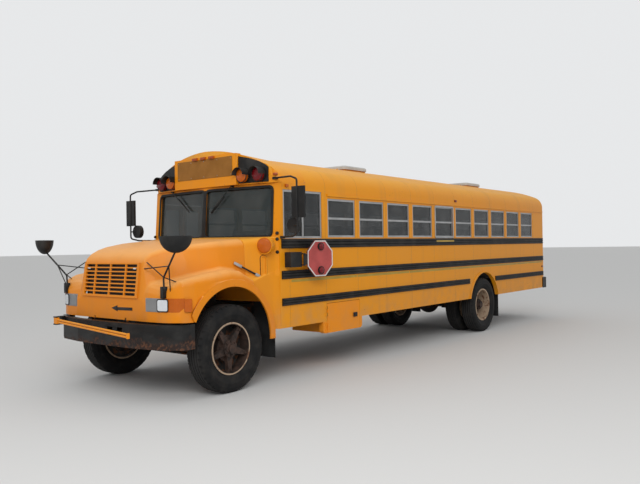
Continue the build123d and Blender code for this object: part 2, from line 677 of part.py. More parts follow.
def roof_face(x, inset, foot, crown=ROOF_Z):
    """Bowed section across the bus down to foot, drawn inset from the outside."""
    half = BODY_HALF - SHOULDER_R
    drop = SHOULDER_Z - crown
    big = (half ** 2 + drop ** 2 - SHOULDER_R ** 2) / (-2 * (drop + SHOULDER_R))
    turn = atan2(SHOULDER_Z - (crown - big), half)
    small = SHOULDER_R - inset
    ends = []
    for side in (1, -1):
        foot_point = (side * (BODY_HALF - inset), foot)
        spring = (side * (BODY_HALF - inset), SHOULDER_Z)
        middle = (side * (half + small * cos(turn / 2)), SHOULDER_Z + small * sin(turn / 2))
        tangent = (side * (half + small * cos(turn)), SHOULDER_Z + small * sin(turn))
        ends.append((foot_point, spring, middle, tangent))
    left, right = ends
    outline = [Line(left[0], left[1]), ThreePointArc(left[1], left[2], left[3]),
               ThreePointArc(left[3], (0, crown - inset), right[3]),
               ThreePointArc(right[3], right[2], right[1]), Line(right[1], right[0]),
               Line(right[0], left[0])]
    plane = Plane(origin=(x, 0, 0), x_dir=(0, 1, 0), z_dir=(1, 0, 0))
    return plane * make_face(outline)


CAP_REAR = -1250
CAP_CROWN_Z = ROOF_Z + 55
CAP_FRONT = -620


def roof():
    """Bowed roof from the front cap to the rounded rear, in panels between the hatches."""
    outer = extrude(roof_face(BODY_REAR, 0, EAVES_Z), CAP_REAR - BODY_REAR)
    rim = [edge for edge in outer.edges() if edge.bounding_box().max.X < BODY_REAR + 1
           and edge.bounding_box().size.Z > 1]
    outer = fillet(rim, CORNER_R)
    inner = extrude(roof_face(BODY_REAR + ROOF_T, ROOF_T, EAVES_Z - 1), CAP_REAR - BODY_REAR)
    shell = outer - inner
    shell -= box(DRIVER_EAVES_X, CAP_REAR + 1, -1.5 * BODY_HALF, 1.5 * BODY_HALF,
                 EAVES_Z - 2, DRIVER_EAVES_Z)
    for x in HATCH_XS:
        shell -= box(x - HATCH_HALF, x + HATCH_HALF, -HATCH_HALF, HATCH_HALF, ROOF_Z - 160, ROOF_Z + 100)
    for side in (-1, 1):
        y = side * (BODY_HALF + 8)
        shell += box(BODY_REAR + CORNER_R, DRIVER_EAVES_X, y - 8, y + 8, EAVES_Z + 8, EAVES_Z + 38)
    return roof_panels(shell)


def roof_panels(shell):
    """The roof shell parted beside each hatch, with the lid hinges on the panels ahead."""
    front, rear = HATCH_XS
    spans = ((BODY_REAR - 1, rear - HATCH_HALF, 0), (rear + HATCH_HALF, front - HATCH_HALF, 0),
             (front + HATCH_HALF, CAP_REAR + 1, 0), (rear - HATCH_HALF, rear + HATCH_HALF, SEAT_GAP),
             (front - HATCH_HALF, front + HATCH_HALF, SEAT_GAP))
    panels = []
    for x0, x1, gap in spans:
        panel = shell & box(x0 + gap, x1 - gap, -1.5 * BODY_HALF, 1.5 * BODY_HALF, EAVES_Z - 2, ROOF_Z + 200)
        for x in HATCH_XS:
            if x0 < hatch_pin(x)[0] < x1 and gap == 0:
                for y in HATCH_HINGE_YS:
                    panel += hatch_hinge(x, y)[0]
        panels.append(panel)
    return panels


CROWN_HALF = 500            # half width of the roof's crown sheets


def crown_sheets(panels):
    """The middle of the roof's panels."""
    strip = box(BODY_REAR - 1, CAP_REAR + 1, SEAT_GAP - CROWN_HALF, CROWN_HALF - SEAT_GAP,
                EAVES_Z, ROOF_Z + 200)
    return [panel & strip for panel in panels]


def side_sheets(panels):
    """The rounded sheets of the roof's panels, from the crown to the eaves on both sides."""
    strip = box(BODY_REAR - 1, CAP_REAR + 1, CROWN_HALF, 1.5 * BODY_HALF, EAVES_Z - 2, ROOF_Z + 200)
    return [panel & side for panel in panels for side in both(strip)]


def hatch_pin(x):
    """X and Z of the pin that a lid over x lifts on."""
    return x + HATCH_HALF + HATCH_LIP + HATCH_PIN_OUT, ROOF_Z + HATCH_RISE + HATCH_EYE_R


def hatch_hinge(x, y):
    """Fixed and moving half of one of a lid's two hinges."""
    pin_x, pin_z = hatch_pin(x)
    half = 11
    fixed = drum(HATCH_PIN_R, y - 3 * half, y + 3 * half, x=pin_x, z=pin_z)
    for y0, y1 in ((y - 3 * half, y - half), (y + half, y + 3 * half)):
        fixed += drum(HATCH_EYE_R, y0, y1, x=pin_x, z=pin_z)
        fixed += box(pin_x - HATCH_EYE_R, pin_x + HATCH_EYE_R, y0, y1, ROOF_Z - ROOF_T / 2, pin_z)
    y0, y1 = y - half + SEAT_GAP, y + half - SEAT_GAP
    moving = drum(HATCH_EYE_R, y0, y1, x=pin_x, z=pin_z)
    moving += box(pin_x - HATCH_PIN_OUT - 5, pin_x, y0, y1, pin_z - HATCH_EYE_R, pin_z)
    return fixed, moving - drum(HATCH_PIN_R + RUNNING_GAP, y0 - 1, y1 + 1, x=pin_x, z=pin_z)


def cap_outline():
    """Plan of the front cap, with its swept-back corners."""
    outline = [(CAP_REAR - 50, BODY_HALF + 60), (-800, BODY_HALF), (-742, BODY_HALF - 80),
               (-665, BODY_HALF / 2), (CAP_FRONT - 10, 0)]
    return outline + [(x, -y) for x, y in reversed(outline[:-1])]


def front_cap():
    """Moulded cap over the windshield with its raised sign panel."""
    outline = cap_outline()
    foot = DRIVER_EAVES_Z
    cap = loft([roof_face(-600, 0, foot, CAP_CROWN_Z), roof_face(CAP_REAR, 0, foot)], ruled=True)
    cap &= plan_prism(outline, CAP_FOOT, CAP_CROWN_Z + 50)
    back = [(x - WALL_T, y * 0.95) for x, y in outline[1:-1]]
    hollow = loft([roof_face(-560, ROOF_T, foot - 1, CAP_CROWN_Z), roof_face(CAP_REAR - 1, ROOF_T, foot - 1)],
                  ruled=True)
    wide = BODY_HALF + 100
    hollow &= plan_prism([(CAP_REAR - 150, wide)] + back + [(CAP_REAR - 150, -wide)],
                         CAP_FOOT - 1, CAP_CROWN_Z + 50)
    cap -= hollow
    for side in (-1, 1):
        wall_x = (CAP_REAR, BODY_FRONT + FRONT_LEAN * (CAP_FOOT - SILL_Z) - 2)
        cap += box(*wall_x, side * (BODY_HALF - ROOF_T), side * BODY_HALF, DRIVER_EAVES_Z, CAP_FOOT + 1)
    return cap + box(-700, CAP_FRONT + 5, -SIGN_HALF, SIGN_HALF, CAP_FOOT, ROOF_Z - 20)


SIGN_HALF = BODY_HALF / 2 - 6   # half width of the flat panel behind the sign


CAP_FOOT = DRIVER_EAVES_Z + 65
WINDSHIELD_Z = (SILL_Z + 24, DRIVER_EAVES_Z + 15)
PANE_INNER_Y = 12
PANE_SIDE_Y = BODY_HALF - 112
POST_Y = PANE_SIDE_Y + 30
FRONT_LEAN = -0.07          # X per unit of Z, up the windshield
FRONT_EDGE_X = BODY_FRONT + 15
FRONT_MIDDLE_X = FRONT_EDGE_X + 137


def front_line(inset, side):
    """Plan points of the V-shaped front wall from post to post, drawn inset."""
    return [(FRONT_EDGE_X - inset, side), (FRONT_MIDDLE_X - inset, 0), (FRONT_EDGE_X - inset, -side)]


def front_x(y):
    """X of the V-shaped front wall's face at a distance from the middle."""
    return FRONT_MIDDLE_X + (FRONT_EDGE_X - FRONT_MIDDLE_X) * y / POST_Y


INSIDE_Y = BODY_HALF - WALL_T - SEAT_GAP


def front_outline():
    """Plan of the front wall's outside, with the corner posts."""
    return [(BODY_FRONT + SEAT_GAP, BODY_HALF)] + front_line(0, POST_Y) + [(BODY_FRONT + SEAT_GAP, -BODY_HALF)]


def front_section():
    """Plan of the front wall: posts outside, plank between the side walls."""
    post = BODY_FRONT + SEAT_GAP
    back = [(x, y) for x, y in reversed(front_line(WALL_T, INSIDE_Y))]
    return front_outline() + [(post, -INSIDE_Y)] + back + [(post, INSIDE_Y)]


def leaning(points, z0, z1):
    """Outline in plan drawn up from z0 to z1 with the windshield's lean."""
    lean = FRONT_LEAN * (z0 - SILL_Z)
    face = Plane.XY.offset(z0) * make_face(Polyline(*[(x + lean, y) for x, y in points], close=True))
    return extrude(face, z1 - z0, dir=(FRONT_LEAN, 0, 1))


def front_wall():
    """Windshield frame with its posts, on the bulkhead below."""
    low = FLOOR_Z - FLOOR_T
    upper = leaning(front_section(), SILL_Z, CAP_FOOT - SEAT_GAP)
    lower = plan_prism(front_section(), low, SILL_Z)
    wall = upper + lower
    for side in (-1, 1):
        pane = [(-500, side * PANE_INNER_Y), (-500, side * PANE_SIDE_Y),
                (-1000, side * PANE_SIDE_Y), (-1000, side * PANE_INNER_Y)]
        wall -= plan_prism(pane, *WINDSHIELD_Z)
    return wall


def windshield():
    """Two flat panes set in a V."""
    panes = []
    for side in (-1, 1):
        inner, outer = PANE_INNER_Y + SEAT_GAP, PANE_SIDE_Y - SEAT_GAP
        near, far = front_x(inner) - 22, front_x(outer) - 22
        face = [(near, side * inner), (far, side * outer),
                (far - GLASS_T, side * outer), (near - GLASS_T, side * inner)]
        panes.append(leaning(face, WINDSHIELD_Z[0] + SEAT_GAP, WINDSHIELD_Z[1] - SEAT_GAP))
    return panes


# Hood and cowl, as sections across the bus. Y is given inwards from the body's side.
# X, top Z, then inwards Y and Z of shoulder, valley and fender crest, inwards Y of
# the lip, and the rounding radii of crown, shoulder, valley and crest

HOOD_SECTIONS = (
    (842, 1105, 640, 1098, 600, 1072, 545, 1045, 532, 300, 18, 20, 18),
    (819, 1300, 638, 1292, 588, 1180, 302, 1150, 292, 300, 34, 30, 24),
    (795, 1500, 636, 1492, 575, 1235, 245, 1190, 215, 300, 36, 40, 32),
    (762, 1564, 628, 1553, 555, 1268, 165, 1240, 148, 500, 48, 50, 50),
    (700, 1614, 610, 1600, 505, 1282, 90, 1300, 60, 1000, 62, 50, 70),
    (580, 1660, 560, 1645, 435, 1285, 35, 1350, 13, 1500, 72, 60, 90),
    (400, 1692, 440, 1678, 340, 1325, 12, 1385, 2, 1500, 85, 60, 105),
    (60, 1735, 265, 1720, 200, 1408, 6, 1400, -2, 1500, 100, 50, 110),
    (-120, 1752, 215, 1735, 175, 1385, 8, 1375, 0, 1500, 105, 45, 100),
    (HOOD_REAR, 1768, 178, 1748, 160, 1288, 15, 1270, 5, 1500, 110, 40, 60),
)
COWL_SECTIONS = (
    (HOOD_REAR, 1768, 178, 1748, 160, 1288, 42, 1270, 40, 1500, 110, 40, 60),
    (-460, 1775, 122, 1755, 92, 1300, 44, 1290, 40, 1500, 90, 20, 12),
    (-560, 1782, 70, 1765, 58, 1330, 44, 1318, 40, 1500, 50, 8, 6),
    (-690, 1786, 50, 1772, 47, 1350, 42, 1300, 36, 1500, 20, 4, 4),
    (BODY_FRONT + 1, 1788, 14, 1775, 8, 1400, 4, 1300, 1, 1500, 8, 2, 2),
)
FRONT_FACES = 4             # sections that make the front face and nose
ARCH_INSIDE = 300           # arch cut's reach in from the body's side


def hood_face(section, inset, low):
    """Section across the hood, drawn inset from its outside."""
    x, top, shoulder_in, shoulder_z, valley_in, valley_z, crest_in, crest_z, lip_in, crown, shoulder, valley, crest = section
    half = [(BODY_HALF - lip_in - inset, low), (BODY_HALF - crest_in - inset, crest_z - inset),
            (BODY_HALF - valley_in - inset, valley_z - inset), (BODY_HALF - shoulder_in - inset, shoulder_z - inset),
            (0, top - inset)]
    radii = [max(crest - inset, 3), valley + inset, max(shoulder - inset, 3), crown]
    path = FilletPolyline(*half, *[(-y, z) for y, z in reversed(half[:-1])], radius=radii + radii[-2::-1])
    outline = path.edges() + [Line(path @ 1, path @ 0)]
    plane = Plane(origin=(x, 0, 0), x_dir=(0, 1, 0), z_dir=(1, 0, 0))
    return plane * make_face(outline)


def hood_form(inset, low, rear):
    """Whole form of the hood and fenders, drawn inset from its outside."""
    rows = [(row[0] - inset,) + row[1:] for row in HOOD_SECTIONS[:FRONT_FACES]]
    rows += HOOD_SECTIONS[FRONT_FACES:]
    rows[-1] = (rear,) + rows[-1][1:]
    return loft([hood_face(row, inset, low) for row in rows], ruled=True)


HOOD_LUG_T = 12


def hood():
    """Tilting hood with both fenders, open below and behind."""
    shell = hood_form(0, HOOD_LIP_Z, HOOD_REAR) - hood_form(HOOD_T, HOOD_LIP_Z - 1, HOOD_REAR - 1)
    inside = BODY_HALF - ARCH_INSIDE
    for side in (-1, 1):
        y0, y1 = sorted((side * inside, side * (BODY_HALF + 100)))
        shell -= drum(ARCH_R, y0, y1, x=ARCH_X, z=ARCH_Z)
    shell -= box(700, 900, -SLOT_EDGES[-1], SLOT_EDGES[-1], GRILLE_Z[0] + 20, GRILLE_Z[1] - 20)
    for pocket in both(plan_prism(LAMP_OUTLINE, LAMP_Z0 - SEAT_GAP, LAMP_Z1 + SEAT_GAP)):
        shell -= pocket
    front = HOOD_SECTIONS[0][0]
    y0 = HOOD_EAR_Y + HOOD_EAR_T / 2 + SEAT_GAP
    lug = box(HOOD_HINGE_X - HOOD_EYE_R, front - 1, y0, y0 + HOOD_LUG_T, HOOD_HINGE_Z, HOOD_LIP_Z + 30)
    lug += drum(HOOD_EYE_R, y0, y0 + HOOD_LUG_T, x=HOOD_HINGE_X, z=HOOD_HINGE_Z)
    for piece in both(lug):
        shell += piece
    notch = box(HOOD_HINGE_X - 40, front + 5, HOOD_EAR_Y - HOOD_EAR_T / 2 - 6, y0,
                HOOD_LIP_Z - 1, HOOD_LIP_Z + 25)
    bore = drum(HOOD_PIN_R + RUNNING_GAP, y0 - 1, y0 + HOOD_LUG_T + 1, x=HOOD_HINGE_X, z=HOOD_HINGE_Z)
    for cut in both(notch) + both(bore):
        shell -= cut
    return shell + flare(BODY_HALF - 15, BODY_HALF + 6) + flare(-BODY_HALF - 6, -BODY_HALF + 15)


def flare(y0, y1):
    """Rolled lip round the front arch, down to its rear foot."""
    ring = drum(ARCH_R + FLARE_W, y0, y1, x=ARCH_X, z=ARCH_Z, hole=ARCH_R)
    foot = ARCH_Z - 48
    keep = side_prism(((ARCH_X - 800, foot), (ARCH_X, foot), (ARCH_X + 570, HOOD_LIP_Z + 10),
                       (ARCH_X + 800, 1400), (ARCH_X - 800, 1400)),
                      -1.5 * BODY_HALF, 1.5 * BODY_HALF)
    return ring & keep


def cowl():
    """Shell between the hood and the body, open to the engine."""
    outer = loft([hood_face(row, 0, SKIRT_Z) for row in COWL_SECTIONS], ruled=True)
    rows = [(HOOD_REAR + 1,) + COWL_SECTIONS[0][1:], *COWL_SECTIONS[1:-1],
            (BODY_FRONT - 1,) + COWL_SECTIONS[-1][1:]]
    shell = outer - loft([hood_face(row, COWL_T, SKIRT_Z - 1) for row in rows], ruled=True)
    wide = BODY_HALF + 100
    shell &= plan_prism([(HOOD_REAR - 8, wide)] + [(x + SEAT_GAP, y) for x, y in front_outline()]
                        + [(HOOD_REAR - 8, -wide)], SKIRT_Z - 1, SILL_Z + 100)
    return shell - drum(ARCH_R + 40, -wide, wide, x=ARCH_X, z=ARCH_Z)


COWL_T = 24


# Grille panel: slot rows and columns between yellow bars
GRILLE_HALF = BODY_HALF - 673
GRILLE_Z = (1110, 1500)
SLOT_ROWS = 8
SLOT_EDGES = (27 - GRILLE_HALF, -300, -8, 284, GRILLE_HALF - 27)
BAR = 9
GRILLE_T = 18


def grille():
    """Raised grille of thin bars with a row of slots between each pair."""
    low, high = HOOD_SECTIONS[0], HOOD_SECTIONS[2]
    lean = (high[0] - low[0]) / (high[1] - low[1])
    back = low[0] + lean * (GRILLE_Z[0] - low[1]) + SEAT_GAP
    face = Plane.XY.offset(GRILLE_Z[0]) * Pos(back + GRILLE_T / 2, 0) * Rectangle(GRILLE_T, 2 * GRILLE_HALF)
    panel = extrude(face, GRILLE_Z[1] - GRILLE_Z[0], dir=(lean, 0, 1))
    step = (GRILLE_Z[1] - GRILLE_Z[0] - 30) / SLOT_ROWS
    for row in range(SLOT_ROWS):
        z = GRILLE_Z[0] + 15 + step * row
        for left, right in zip(SLOT_EDGES, SLOT_EDGES[1:]):
            panel -= box(780, 900, left + BAR, right - BAR, z + BAR, z + step - BAR / 2)
    return panel


LAMP_Z0 = 972
LAMP_Z1 = 1118
LAMP_SPLIT_Y = BODY_HALF - 295
LAMP_OUTLINE = (            # X and Y round the lamp unit, flush with the fender's front
    (843, BODY_HALF - 532), (821, LAMP_SPLIT_Y), (797, BODY_HALF - 229), (765, BODY_HALF - 154),
    (695, BODY_HALF - 64), (655, BODY_HALF - 84), (725, BODY_HALF - 180), (770, LAMP_SPLIT_Y - 10),
    (792, BODY_HALF - 532),
)


def lamp_unit():
    """The wrap-round lamp unit beside the grille."""
    return plan_prism(LAMP_OUTLINE, LAMP_Z0, LAMP_Z1)


def headlamps():
    """Clear inner part of the lamp units."""
    return both(lamp_unit() & box(0, 1000, 600, LAMP_SPLIT_Y - SEAT_GAP, 0, 2000))


def corner_lamps():
    """Amber outer part that wraps the fender's front corner."""
    return both(lamp_unit() & box(0, 1000, LAMP_SPLIT_Y, 1300, 0, 2000))


MIRROR_HALF = 170           # half width of a cross mirror
MIRROR_DEEP = 105
MIRROR_H = 174
MIRROR_TURN = 39            # degrees that it faces away from straight ahead


def cross_mirrors():
    """Oval domed mirrors on bent arms with stay rods at the fender tips."""
    base_y, top_z = BODY_HALF - 263, LAMP_Z1 + 127
    knee = (812, base_y + 3, top_z + 95)
    head = (912, BODY_HALF + 70, 1776)
    under = (head[0] - 12, head[1] - 20, head[2] - MIRROR_H + 20)
    arm = tube(((806, base_y, top_z - 20), knee, under), 40, 10)
    arm += box(780, 838, base_y - 24, base_y + 24, LAMP_Z1 + 4, top_z)
    middle = Vector(*knee) * 0.55 + Vector(*under) * 0.45
    low = Vector(*knee) + Vector(0, 0, 6)
    for start, end in (((765, 600, 1500), low), ((785, 560, 1430), middle),
                       ((770, base_y + 60, 1190), middle), ((680, base_y + 90, 1280), low)):
        arm += rod(start, tuple(end), 6)
    dome = Sphere(MIRROR_H) & box(-MIRROR_H, MIRROR_H, -MIRROR_H, MIRROR_H, -MIRROR_H, 0)
    dome = scale(dome, by=(MIRROR_DEEP / MIRROR_H, MIRROR_HALF / MIRROR_H, 1))
    arm += Pos(*head) * (Rot(0, 0, MIRROR_TURN) * dome)
    return both(arm - hood_form(0, HOOD_LIP_Z, HOOD_REAR))


# Doors and lids

def leaf(end):
    """One entrance leaf with an upper and a lower window, end 0 being the rear one."""
    x0, x1 = LEAF_XS[end]
    shape = box(x0, x1, -BODY_HALF, -BODY_HALF + LEAF_T, STEP_Z - 5, DOOR_TOP - SWING_GAP)
    for z0, z1 in LEAF_PANES:
        shape -= box(x0 + LEAF_FRAME, x1 - LEAF_FRAME, -BODY_HALF - 100, 100 - BODY_HALF, z0, z1)
    for z in DOOR_HINGE_ZS:
        shape += entrance_hinge(end, z)[1]
    return shape


def leaf_glass(end):
    """Panes of one entrance leaf."""
    x0, x1 = LEAF_XS[end]
    y = -BODY_HALF + LEAF_T / 2
    return [box(x0 + LEAF_FRAME + SEAT_GAP, x1 - LEAF_FRAME - SEAT_GAP, y - GLASS_T / 2, y + GLASS_T / 2,
                z0 + SEAT_GAP, z1 - SEAT_GAP) for z0, z1 in LEAF_PANES]


LEAF_FRAME = 55
LEAF_PANES = ((560, 1250), (1340, DOOR_TOP - 80))
DOOR_MIDDLE = sum(DOOR_X) / 2
LEAF_XS = ((DOOR_X[0] + SWING_GAP, DOOR_MIDDLE - MEETING_GAP / 2),
           (DOOR_MIDDLE + MEETING_GAP / 2, DOOR_X[1] - SWING_GAP))


def emergency_door():
    """Rear emergency door, hinged on the bus's right."""
    door = box(BODY_REAR, BODY_REAR + 45, -REAR_DOOR_HALF, REAR_DOOR_HALF, *REAR_DOOR_Z)
    for z0, z1 in EMERGENCY_PANES:
        door -= box(BODY_REAR - 50, BODY_REAR + 100, -REAR_DOOR_HALF + 70, REAR_DOOR_HALF - 70, z0, z1)
    door += box(BODY_REAR - 40, BODY_REAR + 5, REAR_DOOR_HALF - 55, REAR_DOOR_HALF - 25, 1450, 1590)
    for z in REAR_HINGE_ZS:
        door += rear_hinge(z)[1]
    return door


EMERGENCY_PANES = ((1120, 1430), (1700, REAR_DOOR_Z[1] - 50))


def emergency_glass():
    """Panes of the emergency door."""
    x = BODY_REAR + 22
    half = REAR_DOOR_HALF - 70 - SEAT_GAP
    return [box(x - GLASS_T / 2, x + GLASS_T / 2, -half, half, z0 + SEAT_GAP, z1 - SEAT_GAP)
            for z0, z1 in EMERGENCY_PANES]


def hatch(x):
    """Roof hatch lid: a shallow tray over a raised seat, hinged at its front."""
    half = HATCH_HALF + HATCH_LIP
    lid = box(x - half, x + half, -half, half, ROOF_Z + HATCH_RISE, ROOF_Z + HATCH_H)
    lid = fillet(lid.edges().filter_by(Axis.Z), 60)
    lid = chamfer(lid.faces().sort_by(Axis.Z)[-1].edges(), 20)
    for y in HATCH_HINGE_YS:
        lid += hatch_hinge(x, y)[1]
    return lid - box(x - half + 18, x + half - 18, -half + 18, half - 18, ROOF_Z, ROOF_Z + HATCH_H - 25)


def hatch_curbs():
    """Upright rims round the roof openings, under the lids, each of four bars."""
    bars = []
    low, high = ROOF_Z - 70, ROOF_Z + HATCH_H - 25 - SEAT_GAP
    inner = HATCH_HALF - 20
    for x in HATCH_XS:
        for end in (-1, 1):
            x0, x1 = sorted((x + end * inner, x + end * HATCH_HALF))
            bars.append(box(x0, x1, -HATCH_HALF, HATCH_HALF, low, high))
            y0, y1 = sorted((end * inner, end * HATCH_HALF))
            bars.append(box(x - inner + SEAT_GAP, x + inner - SEAT_GAP, y0, y1, low, high))
    return bars


def battery_box():
    """Battery tray under the body with its batteries and face flanges."""
    x0, x1 = BATTERY_X
    y1 = INSIDE_Y
    y0 = y1 - BATTERY_DEPTH
    tray = box(x0 - 20, x1 + 20, y0, y1, BATTERY_Z[0] + 5, BATTERY_Z[1] - 20)
    tray -= box(x0 - 10, x1 + 10, y0 + 10, y1 + 50, BATTERY_Z[0] + 15, BATTERY_Z[1] - 30)
    for centre in (x0 + 190, x1 - 190):
        tray += box(centre - 130, centre + 130, y0 + 120, y1 - 130, BATTERY_Z[0] + 14, BATTERY_Z[0] + 240)
    for edge, tip in ((x0 - SWING_GAP, x0 - 60), (x1 + SWING_GAP, x1 + 90)):
        ear = box(min(edge, tip), max(edge, tip), y1 - 10, BODY_HALF, BATTERY_Z[0], SKIRT_Z - SEAT_GAP)
        outer = [e for e in ear.edges().filter_by(Axis.Y)
                 if abs(e.center().X - tip) < 1 and e.center().Z < BATTERY_Z[0] + 1]
        tray += fillet(outer, 50)
    tray += battery_hinge(BATTERY_HINGE_ZS[0])[0]
    for y in (y0 + 10, y1 - 60):
        tray += box(x0 + 100, x0 + 140, y, y + 40, BATTERY_Z[1] - 25, FLOOR_Z - FLOOR_T - SEAT_GAP)
        tray += box(x1 - 140, x1 - 100, y, y + 40, BATTERY_Z[1] - 25, FLOOR_Z - FLOOR_T - SEAT_GAP)
    return tray


def battery_door():
    """Battery box door with its latch."""
    door = box(*BATTERY_X, BODY_HALF - 25, BODY_HALF, *BATTERY_Z)
    door += box(BATTERY_X[0] + 90, BATTERY_X[0] + 150, BODY_HALF - 1, BODY_HALF + 12, 680, 705)
    for z in BATTERY_HINGE_ZS:
        door += battery_hinge(z)[1]
    return door


# Inside

WHEEL_HOUSE_HALF = 450      # half length at the floor
WHEEL_HOUSE_Y = 540
STEP_SIDE = 40              # stairwell past the doorway at each side
STEP_T = 28
RISER_T = 30
PLATE_T = 39


def floor():
    """Floor panels on sills across the frame rails, parted round wheel houses and steps."""
    edge = INSIDE_Y
    front = front_line(WALL_T + SEAT_GAP, edge)
    well_rear, well_front = DOOR_X[0] - STEP_SIDE, DOOR_X[1] + STEP_SIDE
    well_y = STEP_EDGES[-1] + RISER_T + SEAT_GAP
    slope = (front[0][0] - front[1][0]) / edge
    well_x = front[1][0] - well_y * slope
    house_rear, house_front = REAR_AXLE_X - WHEEL_HOUSE_HALF, REAR_AXLE_X + WHEEL_HOUSE_HALF
    outlines = (
        front[:2] + [(well_x, well_y), (well_rear - SEAT_GAP, well_y), (well_rear - SEAT_GAP, edge)],
        [(well_x, well_y - SEAT_GAP), front[2],
         (well_front + SEAT_GAP, -edge), (well_front + SEAT_GAP, well_y - SEAT_GAP)],
        [(well_rear - 2 * SEAT_GAP, edge), (well_rear - 2 * SEAT_GAP, -edge),
         (house_front + SEAT_GAP, -edge), (house_front + SEAT_GAP, edge)],
        [(house_front, WHEEL_HOUSE_Y - SEAT_GAP), (house_front, SEAT_GAP - WHEEL_HOUSE_Y),
         (house_rear, SEAT_GAP - WHEEL_HOUSE_Y), (house_rear, WHEEL_HOUSE_Y - SEAT_GAP)],
        [(house_rear - SEAT_GAP, edge), (house_rear - SEAT_GAP, -edge), (BODY_REAR, -edge), (BODY_REAR, edge)],
    )
    panels = [plan_prism(outline, FLOOR_Z - FLOOR_T, FLOOR_Z) for outline in outlines]
    panels[-1] &= body_core(edge)
    for index in range(WINDOW_COUNT + 1):
        x = FIRST_POST_X - WINDOW_PITCH * index
        half = WHEEL_HOUSE_Y if abs(x - REAR_AXLE_X) < WHEEL_HOUSE_R + 80 else edge - 20
        right = well_y if x > well_rear - 26 else -half
        panels.append(box(x - 25, x + 25, right, half, RAIL_TOP + SEAT_GAP, FLOOR_Z - FLOOR_T - SEAT_GAP))
    return panels


def wheel_houses():
    """Half drums over the rear wheels, closed on the aisle side, with a foot on the floor's level."""
    outer = drum(WHEEL_HOUSE_R + 30, WHEEL_HOUSE_Y, INSIDE_Y, x=REAR_AXLE_X, z=AXLE_Z)
    outer &= box(REAR_AXLE_X - 900, REAR_AXLE_X + 900, WHEEL_HOUSE_Y, INSIDE_Y, FLOOR_Z, ROOF_Z)
    outer += box(REAR_AXLE_X - WHEEL_HOUSE_HALF, REAR_AXLE_X + WHEEL_HOUSE_HALF, WHEEL_HOUSE_Y, INSIDE_Y,
                 FLOOR_Z - FLOOR_T, FLOOR_Z)
    return both(outer - drum(WHEEL_HOUSE_R, WHEEL_HOUSE_Y + 20, INSIDE_Y + 10, x=REAR_AXLE_X, z=AXLE_Z))


def entrance_steps():
    """Three treads and their risers between two side plates."""
    rear, front = DOOR_X[0] - STEP_SIDE, DOOR_X[1] + STEP_SIDE
    low_y = -INSIDE_Y + 2
    pieces = [box(x, x + PLATE_T, low_y, STEP_EDGES[-1] + RISER_T, STEP_Z, FLOOR_Z - 1)
              for x in (rear, front - PLATE_T)]
    x0, x1 = rear + PLATE_T + SEAT_GAP, front - PLATE_T - SEAT_GAP
    for index, back in enumerate(STEP_EDGES):
        z = STEP_Z + STEP_RISE * index
        nose = STEP_EDGES[index - 1] if index else -BODY_HALF + LEAF_T + 4
        pieces.append(box(x0, x1, nose, back - SEAT_GAP, z - STEP_T, z))
        top = z + STEP_RISE - STEP_T - SEAT_GAP if index < 2 else FLOOR_Z - 1
        pieces.append(box(x0, x1, back, back + RISER_T, z - STEP_T, top))
    return pieces


def body_core(edge):
    """Inside of the body in plan, with its rounded rear corners."""
    core = box(BODY_REAR + WALL_T + SEAT_GAP, 0, -edge, edge, 0, ROOF_Z)
    return fillet(core.edges().filter_by(Axis.Z).group_by(Axis.X)[0], CORNER_R - WALL_T)


def bench_xs():
    """X of each bench back's rear face."""
    return [FIRST_BACK_X - WINDOW_PITCH * row for row in range(ROWS)]


BENCH_Y0 = BODY_HALF - WALL_T - 5 - BENCH_W


def seats():
    """Bench cushions and backs, and the driver's seat."""
    pads = []
    for x in bench_xs():
        for side in (-1, 1):
            y0, y1 = sorted((side * BENCH_Y0, side * (BENCH_Y0 + BENCH_W)))
            pads.append(box(x + BACK_T + 1, x + BACK_T + CUSHION_L, y0, y1, CUSHION_Z, CUSHION_Z + CUSHION_T))
            pads.append(side_prism(((x - 25, BACK_TOP), (x + 45, BACK_TOP), (x + BACK_T, CUSHION_Z),
                                    (x + 20, CUSHION_Z)), y0, y1))
    pads.append(box(-1480, -1060, 400, 860, 1350, 1450))
    pads.append(box(-1590, -1480 - SEAT_GAP, 400, 860, 1350, 2080))
    return pads


def seat_frames():
    """Legs and cross bars of the benches, and the driver's pedestal."""
    frames = []
    for x in bench_xs():
        for side in (-1, 1):
            y0, y1 = sorted((side * (BENCH_Y0 + 40), side * (BENCH_Y0 + BENCH_W)))
            rack = box(x + 60, x + 90, y0, y1, CUSHION_Z - 30, CUSHION_Z - SEAT_GAP)
            rack += box(x + 400, x + 430, y0, y1, CUSHION_Z - 30, CUSHION_Z - SEAT_GAP)
            for y in (side * (BENCH_Y0 + 60), ):
                rack += box(x + 60, x + 430, y - 15, y + 15, CUSHION_Z - 30, CUSHION_Z - SEAT_GAP)
                for leg in (x + 60, x + 400):
                    rack += box(leg, leg + 30, y - 15, y + 15, FLOOR_Z + SEAT_GAP, CUSHION_Z - 20)
            frames.append(rack)
    frames.append(box(-1400, -1150, 480, 780, FLOOR_Z + SEAT_GAP, 1350 - SEAT_GAP))
    return frames


def dashboard():
    """Dash across the front wall with the steering wheel on its column."""
    front = front_line(WALL_T + SEAT_GAP, INSIDE_Y)
    dash = plan_prism(front[:2] + [(-900, 0), (-1010, 200), (-1010, INSIDE_Y)], 1400, 1740)
    column = ((-960, 620, 1560), (-1090, 620, 1690))
    dash += rod(*column, 30)
    wheel = Plane(origin=column[1], z_dir=Vector(*column[1]) - Vector(*column[0]))
    dash += wheel * Torus(215, 14)
    for angle in (90, 210, 330):
        dash += wheel * Rot(0, 0, angle) * Pos(107, 0, 0) * Box(214, 26, 14)
    return dash


# Trim and lamps

